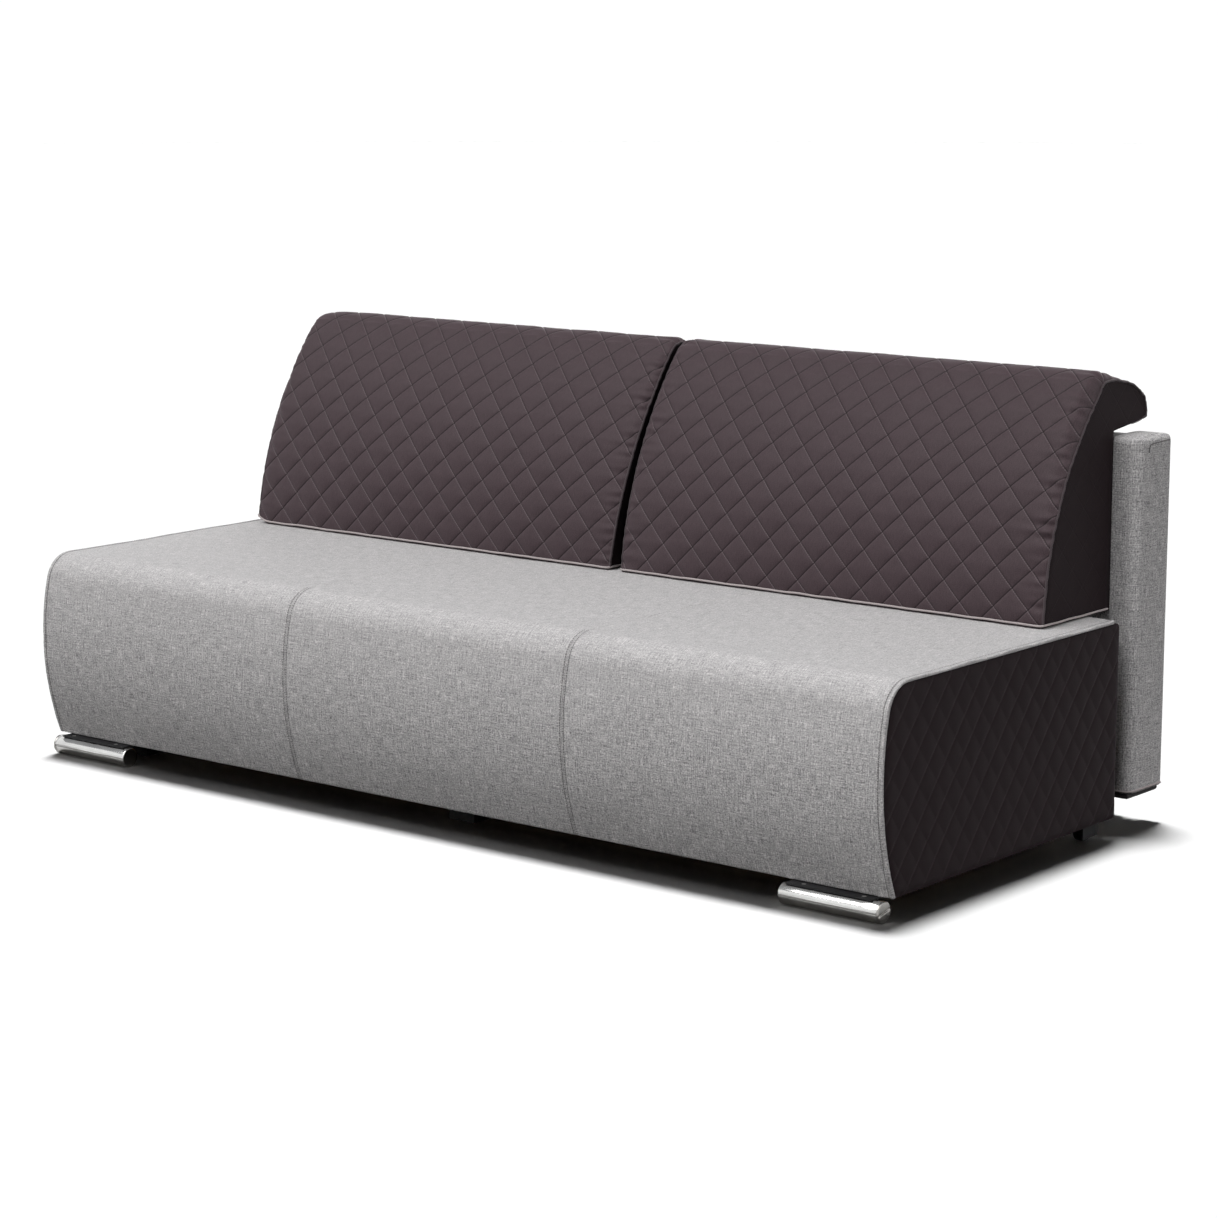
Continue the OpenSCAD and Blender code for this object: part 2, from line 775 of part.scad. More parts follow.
// Cushion outline in parts. The bowed front is an arc through its foot and the crest's start.
crest_c = [crest_y, crest_z - crest_r];
foot = [cushion_front, cushion_z];
bow_end = crest_c + crest_r * [cos(crest_start), sin(crest_start)];
bow_chord = norm(bow_end - foot);
cushion_bow_r = (pow(bow_chord / 2, 2) + pow(front_bow, 2)) / (2 * front_bow);
bow_dir = (bow_end - foot) / bow_chord;
bow_c = (foot + bow_end) / 2 + (cushion_bow_r - front_bow) * [bow_dir[1], -bow_dir[0]];
bow_a0 = atan2(foot[1] - bow_c[1], foot[0] - bow_c[0]);
bow_a1 = atan2(bow_end[1] - bow_c[1], bow_end[0] - bow_c[0]);
bow_from = bow_a0 < 0 ? bow_a0 + 360 : bow_a0;
nose_c = [nose_y - nose_r, nose_top_z];
tip_c = [nose_y - tip_r, nose_z + tip_r];

// The quilted path runs up the front and over the crest to the nose's top
quilt_path = concat(
    arc(bow_c[0], bow_c[1], cushion_bow_r, bow_from, bow_a1, 24),
    arc(crest_c[0], crest_c[1], crest_r, crest_start, slope_angle, 6),
    [nose_c + nose_r * [cos(slope_angle), sin(slope_angle)]]
);
nose_path = concat(
    arc(nose_c[0], nose_c[1], nose_r, slope_angle * 0.5, 0, 1),
    arc(tip_c[0], tip_c[1], tip_r, 0, -90, 2)
);

// Running length along a path, and the point at a share of its length
function run(path, k) = k == 0 ? 0 : run(path, k - 1) + norm(path[k] - path[k - 1]);
quilt_run = [for (k = [0 : len(quilt_path) - 1]) run(quilt_path, k)];
quilt_len = quilt_run[len(quilt_path) - 1];
quilt_ys = [for (k = [0 : len(quilt_path) - 1]) [quilt_run[k], quilt_path[k][0]]];
quilt_zs = [for (k = [0 : len(quilt_path) - 1]) [quilt_run[k], quilt_path[k][1]]];
quilt_rows = round(quilt_len / quilt_half);
quilt_cols = round(cushion_w / quilt_half);
front_points = concat(
    [for (j = [0 : quilt_rows]) let (s = quilt_len * j / quilt_rows)
        [lookup(s, quilt_ys), lookup(s, quilt_zs)]],
    nose_path
);
last_row = len(front_points) - 1;

// Rows that pair with the back's front face; the rest pair with the nose's underside
corner_row = round(quilt_rows * 0.7);
under_end = nose_y - 1.8 * tip_r;
function rear_point(j) = j <= corner_row
    ? [cushion_rear, cushion_z + (nose_z - cushion_z) * j / corner_row]
    : [cushion_rear + (under_end - cushion_rear) * (j - corner_row) / (last_row - corner_row), nose_z];

// Outward direction of the front at row j
function outward(j) =
    let (d = front_points[min(j + 1, last_row)] - front_points[max(j - 1, 0)])
    [-d[1], d[0]] / norm(d);

// Swelling of the front at row j and column i: the crown, and the quilting's raised centres
function swell(i, j) =
    let (
        u = i / quilt_cols,
        v = min(1, j / corner_row),
        inside = i > 0 && i < quilt_cols && j > 0 && j < quilt_rows,
        arch = 1 - pow(2 * u - 1, 4)
    )
    crown * arch * sin(180 * v) + (inside && (i + j) % 2 == 1 ? relief : 0);

// Amount by which the ends draw in at row j
function draw_in(j) = crown * sin(180 * min(1, j / last_row));

function cushion_points() = [for (side = [0, 1], j = [0 : last_row], i = [0 : quilt_cols])
    let (
        p = side == 0 ? rear_point(j) : front_points[j] + swell(i, j) * outward(j),
        e = i == 0 ? draw_in(j) : i == quilt_cols ? -draw_in(j) : 0,
        x = cushion_x0 + cushion_w * i / quilt_cols + e
    )
    [x, p[0], max(p[1], cushion_z)]];

// The slab's near side is the rear, so its faces are turned inside out for this order of points
module cushion_form() {
    polyhedron(points = cushion_points(),
        faces = [for (f = slab_faces(quilt_cols, last_row)) reversed(f)]);
}

// Foam core: the cushion's outline up to its crest, drawn in by the cover's wall
core_rear = cushion_rear - cover_wall;
core_front = [for (j = [0 : 2 : quilt_rows])
    let (p = front_points[j] - cover_wall * outward(j))
    if (p[0] < core_rear - cover_wall) [p[0], j == 0 ? cushion_z + cover_wall : p[1]]];
core_outline = concat(core_front, [[core_rear, core_front[len(core_front) - 1][1]],
    [core_rear, cushion_z + cover_wall]]);

module core_prism(gap) {
    along_x(cushion_x0 + cover_wall - gap, cushion_x0 + cushion_w - cover_wall + gap)
        polygon(core_outline);
}

module cushion(right) {
    on_side(right) color(plum) difference() {
        cushion_form();
        core_prism(0);
    }
}

module cushion_core(right) {
    on_side(right) color(foam_white) core_prism(-lay_gap);
}

// Piping round the foot of a cushion: the front and both ends
module cushion_piping(right) {
    y = cushion_front - piping_r - lay_gap;
    z = cushion_z + piping_r;
    rear_y = cushion_rear - 2 * piping_r;
    xs = [cushion_x0 - piping_r - lay_gap, cushion_x0 + cushion_w + piping_r + lay_gap];
    on_side(right) color(piping_tone) {
        bar_x(xs[0] - piping_r, xs[1] + piping_r, y, z, piping_r, piping_sides);
        for (x = xs)
            translate([x, y, z]) rotate([-90, 0, 0])
                cylinder(h = rear_y - y, r = piping_r, $fn = piping_sides);
    }
}

box_front();
box_rear();
box_side(false);  // box_side_left
box_side(true);  // box_side_right
box_divider();
box_floor();
floor_cleats();
corner_blocks();
base_feet();
felt_strips();
guide_channel(false);  // guide_channel_left
guide_channel(true);  // guide_channel_right
pivot_plate(false);  // pivot_plate_left
pivot_plate(true);  // pivot_plate_right
pivot_bushes();
seat_rails();
seat_slats();
seat_webbing();
seat_foam();
front_foam();
seat_lining();
seat_cover(0);  // seat_cover_left
seat_cover(1);  // seat_cover_middle
seat_cover(2);  // seat_cover_right
front_board();
front_batten();
end_board(false);  // end_board_left
end_board(true);  // end_board_right
end_cover(false);  // end_cover_left
end_cover(true);  // end_cover_right
front_leg(false);  // front_leg_left
front_leg(true);  // front_leg_right
leg_plates();
leg_bolts();
runner(false);  // runner_left
runner(true);  // runner_right
castor_bracket(false);  // castor_bracket_left
castor_bracket(true);  // castor_bracket_right
castor_wheel(false);  // castor_wheel_left
castor_wheel(true);  // castor_wheel_right
swing_arm(false);  // swing_arm_left
swing_arm(true);  // swing_arm_right
torsion_tube();
back_rails();
back_studs();
back_pad_front();
back_pad_rear();
back_cover();
back_hem();
back_piping();
hinge_channel(false);  // hinge_channel_left
hinge_channel(true);  // hinge_channel_right
hinge_pins();
cushion(false);  // cushion_left
cushion(true);  // cushion_right
cushion_core(false);  // cushion_core_left
cushion_core(true);  // cushion_core_right
cushion_piping(false);  // cushion_piping_left
cushion_piping(true);  // cushion_piping_right
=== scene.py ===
"""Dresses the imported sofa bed: padded covers, quilted cushions, seams, chrome legs, floor and light.

All sizes are in metres. X runs along the sofa, Y from the front to the rear, and Z up.
"""
import math

import bmesh
import bpy
import numpy as np
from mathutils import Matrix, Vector


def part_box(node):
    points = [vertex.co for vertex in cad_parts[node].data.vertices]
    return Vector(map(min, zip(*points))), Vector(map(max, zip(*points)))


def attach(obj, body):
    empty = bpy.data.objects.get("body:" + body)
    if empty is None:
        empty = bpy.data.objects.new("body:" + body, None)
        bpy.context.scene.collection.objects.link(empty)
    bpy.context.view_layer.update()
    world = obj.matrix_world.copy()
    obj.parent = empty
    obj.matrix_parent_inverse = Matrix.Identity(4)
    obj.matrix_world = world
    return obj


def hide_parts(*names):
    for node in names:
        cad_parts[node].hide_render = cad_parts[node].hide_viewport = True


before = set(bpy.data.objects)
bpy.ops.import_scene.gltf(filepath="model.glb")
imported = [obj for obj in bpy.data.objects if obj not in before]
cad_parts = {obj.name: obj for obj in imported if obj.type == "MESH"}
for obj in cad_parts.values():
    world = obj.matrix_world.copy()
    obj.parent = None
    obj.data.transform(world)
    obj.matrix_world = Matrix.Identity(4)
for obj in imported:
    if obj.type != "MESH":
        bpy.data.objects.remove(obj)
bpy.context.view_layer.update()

SIDES = (("left", -1), ("right", 1))
# Points closer than MERGE are merged. TINY is the smallest length that counts
MERGE = 2e-5
TINY = 1e-6
# Share of a tube's radius at each ring of its domed ends
DOME = (0.0, 0.5, 0.87)
CORD_RADIUS = 0.0021
FOOT_CORD_RADIUS = 0.0020
THREAD_RADIUS = 0.0008

# Seat outline. The arcs are given as (y, z, radius)
FLOOR_GAP = 0.040
SEAT_TOP = 0.400
SEAT_REAR = 0.2825
SEAT_REAR_FOOT = 0.290
SEAT_BELLY = (0.0375, 0.235, 0.495)
SEAT_NOSE = (-0.38464, 0.340, 0.060)
SEAT_HEEL = (0.2675, 0.385, 0.015)
SEAT_NOSE_TURN = 166.03
COVER_HALF = 0.996
SEAM_X = 0.332
SHELL = 0.006
STITCH_IN = 0.0040
OUTER_STITCH_IN = 0.0085
# The front's stitch rows and the side rows end at these running lengths, the second from the rear foot
STITCH_END = 0.40
SIDE_STITCH_END = 0.13
STITCH_PITCH = 0.0046
STITCH_LONG = 0.0030
STITCH_WIDE = 0.0014
# Grid step and closer places of a cover's columns along X
SEAT_STEP = 0.012
SEAT_EDGE = (0.0, 0.0005, 0.0012, 0.0024, STITCH_IN, 0.0055, 0.0070, OUTER_STITCH_IN)
# Radius of the cover's roll into its seams, at its outer ends, its foot and its rear hem
SEAM_ROLL = 0.0013
END_ROLL = 0.0025
FOOT_ROLL = 0.0025
REAR_ROLL = 0.002
# Depth and half width of the dents along the topstitches
DENT = (0.0008, 0.0011)
OUTER_DENT = (0.0009, 0.0014)
# Running length over which the front's seams flatten into the top's
FRONT_END = 0.46
FRONT_FADE = 0.10
# Extra thickness of the cover's foot, and how far its rear corners are drawn in
FOOT_HEM = 0.0092
REAR_TUCK = 0.0115

# Quilting: half of a diamond's diagonal, the gap of its lines, and the grid step of the quilted sheets
DIAMOND = 0.035
LINE_GAP = 2 * DIAMOND / math.sqrt(2)
FINE = DIAMOND / 10
COARSE = DIAMOND / 5
# Usual and greatest rise of a puff
PUFF = 0.0028
PUFF_CAP = 0.0039
# Depths of the grooves along the two families of stitch lines, and their half width
GROOVES = (0.0011, 0.0010, 0.0020)
PANEL_GROOVES = (0.0001, 0.0008, 0.0022)
BILLOW_FRAMES = 14
CLOTH = {"vertex_group_mass": "seam", "use_pressure": True, "uniform_pressure_force": 4,
         "quality": 4, "tension_stiffness": 8, "compression_stiffness": 8, "bending_stiffness": 0.6}

# End panels. Their diamonds are narrower and a little lower
PANEL_SCALE = (1.32, 1.094)
PANEL_QUILT_AT = (-0.085, 0.215)
PANEL_INSET = 0.0063
PANEL_FRONT = -0.4512
PANEL_CORNER = 0.012
# X of a panel's hem, its outer limit, its inner face and its middle
PANEL_BASE = 0.9922
PANEL_LIMIT = 0.9998
PANEL_INNER = 0.985
PANEL_MIDDLE = 0.993

# Back panel
BACK_HALF = 0.990
BACK_FRONT = 0.3395
BACK_REAR = 0.4525
BACK_FOOT = 0.070
BACK_TOP = 0.705
BACK_EDGE = 0.025
BACK_REAR_EDGE = 0.006
BACK_TOP_EDGE = 0.012
BACK_WALL = 0.004
BACK_DOME = 0.003
BACK_BELLY = 0.0012
# Depth and half width of the dent along the seam on each end
BACK_DENT = (0.0010, 0.0013)
# The back's top stands higher beyond the cushions, from BARE_X on and fully after BARE_SPAN
BACK_RAISE = 0.0065
BARE_X = 0.905
BARE_SPAN = 0.035
BACK_SEAM_Y = 0.3705
BACK_SEAM_Z = 0.6985
BACK_SEAM_CORNER = 0.018
# Inner and outer X of the arm pockets, and the height of their top
POCKET = (0.912, 0.950, 0.170)
BACK_PIPING_Z = 0.0745
HEM_HALF = 0.983
HEM_HEIGHT = 0.011
FELT_WIDTH = 0.018
WEB_WIDTH = 0.070
WEB_COUNT = 12
STRIP_STEP = 0.05

# Legs
LEG_RADIUS = 0.019
LEG_BEVEL = 0.0018
LEG_CAP = 0.0045
LEG_CAP_ROUND = 0.0018
LEG_TURNS = 64
LEG_SLOT_TILT = 13
LEG_SLOT_DEPTH = 0.0022
LEG_SLOT_HALF = 0.0014

# Cushions. The arcs of the crest and the nose are (y, z, radius), and begin at these angles
CUSHION_X = (0.006, 0.938)
CUSHION_FOOT = 0.4003
CUSHION_FRONT = 0.1112
CUSHION_REAR = 0.3392
CREST = (0.3032, 0.785, 0.047)
CREST_TURN = 145
NOSE = (0.4275, 0.7563, 0.030)
NOSE_TURN = 69.5
NOSE_TIP = (0.4395, 0.7233, 0.018)
UNDERSIDE = 0.7053
UNDERSIDE_REAR = 0.4251
REAR_CORNER = 0.44394
FRONT_SAG = 0.033
CROWN = 0.008
CROWN_LENGTH = 0.444
# Shift of a cushion's outer and inner end along X, at its foot and at its crest
LEAN = {"left": ((-0.023, -0.0145), (-0.019, 0.007)), "right": ((0.0, 0.0), (0.0, 0.009))}
LEAN_LENGTH = 0.36
# How far a cushion's end seams lie below its middle, at running lengths of its front
FALL_AT = (0.10, 0.27, 0.32, 0.36, 0.40, 0.445, 0.505, 0.535, 0.56, 0.585, 0.61, 0.635, 0.66, 0.69)
OUTER_FALL = {"left": (0, 7, 13.5, 17, 21, 24, 22, 14, 5, 0, 0, 0, 0, 0),
              "right": (0, 7, 13.5, 17, 21, 25, 14, 3, 0, -3, -2, 4, 8, 4)}
INNER_FALL = (0, 2, 3, 4, 5, 5, 5, 4, 3, 2, 2, 2, 1, 0)
FALL_SHARE = {"left": 0.0007, "right": 0.001}
INNER_FALL_SHARE = 0.001
END_ROUND = 0.0035
END_DRAW = 0.0008
DRAW_REACH = 0.07
SHOULDER = 0.024
# Depth of the puckers at a cushion's outer and inner end
PUCKER = {"left": 0.0010, "right": 0.0036}
INNER_PUCKER = 0.0033
PUCKER_REACH = 0.024
PUFF_REACH = 0.012
# The left cushion's front foot corner is rounded upward, and its outer end droops at its crest,
# about this running length and width
FOOT_ROUND = {"left": 0.012, "right": 0.0}
FOOT_ROUND_REACH = 0.035
CREST_DROOP = {"left": 0.013, "right": 0.0}
DROOP_AT = (0.51, 0.05)
DROOP_REACH = 0.075
# Size, running length and width of the crest's settling, and of the flatter puffs there
CREST_SETTLE = (0.0025, 0.48, 0.06)
CREST_FLAT = (0.5, 0.50, 0.05)
# The nose's underside stands off the back at its outer end, from this running length on
NOSE_AT = 0.6707
NOSE_LIFT = 0.53
NOSE_REACH = 0.05
QUILT_AT = {"left": (-0.765, 0.351), "right": (0.278, 0.378)}
CUSHION_EDGE = (0.0, 0.0008, 0.0020, 0.0036, 0.0060)

# The camera, fitted to the edges in the photograph. Its turn is in degrees
CAMERA_LENS = 97.31
CAMERA_SENSOR = 36
CAMERA_PLACE = (3.870, -4.699, 1.460)
CAMERA_TURN = (79.60, 0, 38.98)

# Studio
# Name, azimuth and elevation, share, angle and tint of each light, and how it treats the floor
LIGHTS = (
    ("key_light", (-16, 52), 1.02, 50, (1.0, 0.99, 0.98), "EXCLUDE"),
    ("side_light", (95, 25), 0.38, 50, (1.0, 0.985, 0.98), "EXCLUDE"),
    ("dome_light", (0, 88), 0.235, 130, (0.96, 0.98, 1.0), "EXCLUDE"),
    ("rear_light", (200, 14), 0.45, 60, (1, 1, 1), "EXCLUDE"),
    ("floor_light", (225, 82), 1.17, 10, (1, 1, 1), "INCLUDE"),
)
# The sky's strength at the zenith, and the heights of direction between which it rises to that
WORLD_HIGH = 0.02
WORLD_RISE = (0.30, 0.55)
WALL_GLOW = 1.02
FLOOR_HALF = 31
WALL_RADIUS = 30
WALL_HEIGHTS = (-0.1, 16)
WALL_SIDES = 48

# Tones
LINEN_TONE = (0.413, 0.405, 0.410)
LINEN_DARK = (0.170, 0.165, 0.168)
LINEN_LIGHT = (0.730, 0.715, 0.710)
THREAD_TONE = (0.10, 0.095, 0.095)
# Tone of the dark painted horizon line reflected round the chrome legs
PAINTED_HORIZON_TONE = (0.06, 0.06, 0.055)
PLUM_SHEEN = (0.90, 0.74, 0.80, 1)
BLACK = (0.009, 0.009, 0.010)
# Scales and strengths of the linen's long weft slubs, warp slubs and short threads
SLUBS = (((34, 520, 1), 0.20), ((520, 38, 1), 0.22), ((240, 640, 1), 0.26), ((640, 250, 1), 0.26))
WEAVE_PITCH = 0.0014
STRAP_PITCH = 0.004


# Shares and distances

def ease(value, start, span):
    """Rises from 0 to 1 over the span that begins at start."""
    return np.clip((value - start) / span, 0, 1)


def fade(distance, reach):
    """1 at no distance, falling to 0 at reach."""
    return np.clip(1 - distance / reach, 0, 1)


def bell(distance, width):
    """A smooth bump, 1 at no distance."""
    return np.exp(-(distance / width) ** 2)


def hump(value, size, place, width):
    """A smooth bump of a given size at a place."""
    return size * bell(value - place, width)


def inward(value, low, high):
    """Distance to the nearer end of a range."""
    return np.minimum(value - low, high - value)


def roll(near, radius):
    """Depth of a quarter-round edge at a distance from that edge."""
    return radius - np.sqrt(np.maximum(0, radius ** 2 - np.maximum(0, radius - near) ** 2))


def waves(rng, run, low, high, count=9):
    """A smooth random wave along a running length, about -1 to 1."""
    total = np.zeros_like(run)
    for _ in range(count):
        length = rng.uniform(low, high)
        total += rng.uniform(0.4, 1.0) * np.sin(2 * np.pi * (run / length + rng.uniform()))
    return total / math.sqrt(count)


def ripples(rng, x, s, x_range, s_range):
    """Slow random waves over a sheet."""
    return waves(rng, x, *x_range, 5) * waves(rng, s, *s_range, 5)


# Paths in the (y, z) plane

def arc(y, z, radius, start, end, count):
    """Points of an arc about (y, z), angles in degrees."""
    angle = np.radians(np.linspace(start, end, count + 1))
    return np.stack([y + radius * np.cos(angle), z + radius * np.sin(angle)], 1)


def running(points):
    """Running length at each point of a polyline."""
    return np.concatenate([[0.0], np.cumsum(np.linalg.norm(np.diff(points, axis=0), axis=1))])


def measured(*parts):
    """Joins point lists into one path: (points, running length)."""
    points = np.concatenate([np.atleast_2d(part) for part in parts])
    step = np.linalg.norm(np.diff(points, axis=0), axis=1)
    points = points[np.concatenate([[True], step > 1e-7])]
    return points, running(points)


def at(path, s):
    """Points of a path at the running lengths s."""
    points, run = path
    return np.stack([np.interp(s, run, points[:, 0]), np.interp(s, run, points[:, 1])], 1)


def outward(path, s, reach=0.001):
    """Unit normals of a path, on its left-hand side."""
    step = at(path, np.minimum(s + reach, path[1][-1])) - at(path, np.maximum(s - reach, 0))
    step /= np.linalg.norm(step, axis=1)[:, None]
    return np.stack([-step[:, 1], step[:, 0]], 1)


def stations(low, high, anchor, step, edge=(0.0,)):
    """Values from low to high that fall on anchor + k * step, with closer ones at both ends."""
    clear = step * 0.6 + max(edge)
    first = math.ceil((low + clear - anchor) / step - 1e-6)
    last = math.floor((high - clear - anchor) / step + 1e-6)
    inner = anchor + step * np.arange(first, last + 1)
    ends = [low + e for e in edge] + [high - e for e in edge]
    values = np.unique(np.round(np.concatenate([inner, ends]), 7))
    if len(values) % 2 == 0:
        gap = np.argmax(np.diff(values))
        values = np.insert(values, gap + 1, (values[gap] + values[gap + 1]) / 2)
    return values


# Meshes

def meshed(*axes):
    """One grid of points from coordinates that are single, rows, columns or grids."""
    return np.stack(np.broadcast_arrays(*axes), 2)


def lay(x, yz):
    """Grid of (x, y, z) from x values and (y, z) points."""
    return meshed(x, yz[..., 0], yz[..., 1])


def add_object(name, data):
    """Puts a new object in the scene."""
    thing = bpy.data.objects.new(name, data)
    bpy.context.scene.collection.objects.link(thing)
    return thing


def new_mesh(name, points, faces):
    """A mesh of points and faces."""
    mesh = bpy.data.meshes.new(name)
    mesh.from_pydata(points, [], faces)
    return mesh


class Skin:
    """Collects the faces of one piece, with flat cloth coordinates for its weave."""

    def __init__(self):
        self.points = []
        self.flat = []
        self.faces = []
        self.slots = []
        self.count = 0

    def patch(self, points, flat, slot=0, step=1, lean=None, drop=None):
        """Adds a grid of points. Every step-th row and column makes the faces.

        lean says how cells are cut into triangles, and drop says which are left out.
        """
        rows, cols = points.shape[:2]
        base = self.count
        self.points.append(points.reshape(-1, 3))
        self.flat.append(np.broadcast_to(flat, (rows, cols, 2)).reshape(-1, 2))
        self.count += rows * cols
        for i in range(0, rows - 1, step):
            for j in range(0, cols - 1, step):
                if drop is not None and drop[i, j]:
                    continue
                a = base + i * cols + j
                b = a + step
                c = a + step * cols
                d = c + step
                if step == 2:
                    # Cells at the border also take the points halfway along it
                    ring = (a, i == 0 and a + 1, b, j + step == cols - 1 and b + cols,
                            d, i + step == rows - 1 and d - 1, c, j == 0 and c - cols)
                    self.faces.append(tuple(k for k in ring if k is not False))
                elif lean is None or lean[i, j] == 0:
                    self.faces.append((a, b, d, c))
                elif lean[i, j] == 1:
                    self.faces += [(a, b, d), (a, d, c)]
                else:
                    self.faces += [(a, b, c), (b, d, c)]
        self.slots += [slot] * (len(self.faces) - len(self.slots))

    def build(self, name, materials):
        """Makes the object, with touching points merged and its faces turned outward."""
        mesh = new_mesh(name, np.concatenate(self.points).tolist(), self.faces)
        layer = mesh.uv_layers.new(name="cloth")
        index = np.empty(len(mesh.loops), dtype=np.int32)
        mesh.loops.foreach_get("vertex_index", index)
        layer.data.foreach_set("uv", np.concatenate(self.flat)[index].ravel())
        mesh.polygons.foreach_set("material_index", self.slots)
        mesh.polygons.foreach_set("use_smooth", [True] * len(mesh.polygons))
        for material in materials:
            mesh.materials.append(material)
        bm = bmesh.new()
        bm.from_mesh(mesh)
        bmesh.ops.remove_doubles(bm, verts=bm.verts, dist=MERGE)
        bmesh.ops.dissolve_degenerate(bm, edges=bm.edges, dist=TINY)
        bmesh.ops.recalc_face_normals(bm, faces=bm.faces)
        bm.to_mesh(mesh)
        bm.free()
        return add_object(name, mesh)


def between(a, b, shares):
    """Grid whose rows lead from a to b, at a list of shares or in a number of equal steps."""
    if np.isscalar(shares):
        shares = np.linspace(0, 1, shares + 1)
    share = shares[:, None, None]
    return a[None] * (1 - share) + b[None] * share


def close_block(skin, outer, inner, depth, end_slot=0, step=1):
    """Adds the inner sheet and the four edges that close a padded block."""
    skin.patch(inner, inner[..., 1:], step=step)
    for row in (0, -1):
        grid = between(outer[row], inner[row], depth)
        skin.patch(grid, grid[..., 1:], slot=end_slot, step=step)
    for column in (0, -1):
        grid = between(outer[:, column], inner[:, column], depth)
        skin.patch(grid, grid[..., :2], step=step)


def add_tube(skin, points, radius, sides=10, slot=0):
    """Adds a round tube along points, with domed ends."""
    tangent = np.gradient(points, axis=0)
    tangent /= np.linalg.norm(tangent, axis=1)[:, None]
    guide = np.array([0.0, 0.0, 1.0]) if abs(tangent[0][2]) < 0.9 else np.array([1.0, 0, 0])
    normals = []
    for t in tangent:
        guide = guide - t * np.dot(guide, t)
        guide = guide / np.linalg.norm(guide)
        normals.append(guide)
    normals = np.array(normals)
    binormals = np.cross(tangent, normals)
    angle = np.linspace(0, 2 * np.pi, sides + 1)
    ring = (np.cos(angle)[None, :, None] * normals[:, None]
            + np.sin(angle)[None, :, None] * binormals[:, None])

    def cap(end, way, shares):
        return [points[end] + way * tangent[end] * radius * math.sqrt(1 - share ** 2)
                + radius * share * ring[end] for share in shares]

    grid = np.concatenate([cap(0, -1, DOME), points[:, None] + radius * ring, cap(-1, 1, DOME[::-1])])
    run = np.pad(running(points), len(DOME), mode="edge")
    skin.patch(grid, meshed(run[:, None], (angle * radius)[None]), slot=slot)


def corner_run(points, radius, count=6):
    """Points of an open polyline with its corners rounded."""
    points = [np.array(p, dtype=float) for p in points]
    out = [points[0]]
    for before, corner, after in zip(points, points[1:], points[2:]):
        start, end = [corner + (p - corner) / np.linalg.norm(p - corner) * radius for p in (before, after)]
        for t in np.linspace(0, 1, count + 1):
            out.append((1 - t) ** 2 * start + 2 * t * (1 - t) * corner + t * t * end)
    out.append(points[-1])
    return np.array(out)


def spread(points, step):
    """Points of a polyline at about even steps."""
    points = np.asarray(points, dtype=float)
    run = running(points)
    s = np.linspace(0, run[-1], max(2, int(round(run[-1] / step)) + 1))
    return np.stack([np.interp(s, run, points[:, k]) for k in range(3)], 1)


# Quilting

def quilt_cells(x, s, anchor):
    """The two cell coordinates of the quilting. Each is whole on the lines of one family."""
    dx = x - anchor[0]
    ds = s - anchor[1]
    return (dx + ds) / (2 * DIAMOND), (dx - ds) / (2 * DIAMOND)


def quilt(x, s, anchor):
    """Distances to the two families of stitch lines."""
    return [np.abs(p - np.round(p)) * LINE_GAP for p in quilt_cells(x, s, anchor)]


def groove_of(x, s, anchor, grooves):
    """Depth of the grooves along the stitch lines."""
    dp, dq = quilt(x, s, anchor)
    return grooves[0] * bell(dp, grooves[2]) + grooves[1] * bell(dq, grooves[2])


def lean_of(xs, ss, anchor):
    """How each cell is cut so that its cut follows the nearest stitch line."""
    mx = ((xs[1:] + xs[:-1]) / 2)[:, None]
    ms = ((ss[1:] + ss[:-1]) / 2)[None]
    dp, dq = quilt(mx, ms, anchor)
    return np.where(np.minimum(dp, dq) > 0.004, 0, np.where(dp < dq, 2, 1))


def billow(points, pinned, sense):
    """Inflates a sheet between its pinned seams with Blender's cloth. Returns each point's rise."""
    rows, cols = points.shape[:2]
    normals = np.cross(np.gradient(points, axis=0), np.gradient(points, axis=1)) * sense
    normals /= np.maximum(np.linalg.norm(normals, axis=2), 1e-12)[..., None]
    index = np.arange(rows * cols).reshape(rows, cols)
    faces = np.stack([index[:-1, :-1], index[:-1, 1:], index[1:, 1:], index[1:, :-1]], 2)
    if sense > 0:
        faces = faces[..., ::-1]
    mesh = new_mesh("billow", points.reshape(-1, 3).tolist(), faces.reshape(-1, 4).tolist())
    sheet = add_object("billow", mesh)
    sheet.vertex_groups.new(name="seam").add(index[pinned].tolist(), 1.0, "REPLACE")
    cloth = sheet.modifiers.new("cloth", "CLOTH")
    for key, value in CLOTH.items():
        setattr(cloth.settings, key, value)
    cloth.settings.effector_weights.gravity = 0
    cloth.collision_settings.use_collision = False
    cloth.point_cache.frame_start = 1
    cloth.point_cache.frame_end = BILLOW_FRAMES
    for number in range(1, BILLOW_FRAMES + 1):
        bpy.context.scene.frame_set(number)
    shown = sheet.evaluated_get(bpy.context.evaluated_depsgraph_get()).data
    moved = np.empty(rows * cols * 3, dtype=np.float32)
    shown.vertices.foreach_get("co", moved)
    rise = ((moved.reshape(rows, cols, 3) - points) * normals).sum(2)
    bpy.context.scene.frame_set(1)
    bpy.data.objects.remove(sheet)
    bpy.data.meshes.remove(mesh)
    return rise


def puff_of(xs, ss, anchor, place, sense):
    """Rise of a quilted sheet between its seams, at the fine grid's points."""
    cx = stations(xs[0], xs[-1], anchor[0], COARSE)
    cs = stations(ss[0], ss[-1], anchor[1], COARSE)
    pinned = np.minimum(*quilt(cx[:, None], cs[None], anchor)) < 1e-4
    pinned[[0, -1]] = True
    pinned[:, [0, -1]] = True
    rise = billow(place(cx, cs), pinned, sense)
    rise = np.clip(rise * PUFF / max(np.percentile(rise, 90), 1e-6), 0, PUFF_CAP)
    rows = np.stack([np.interp(ss, cs, row) for row in rise])
    return np.stack([np.interp(xs, cx, column) for column in rows.T], 1)


# Cushions

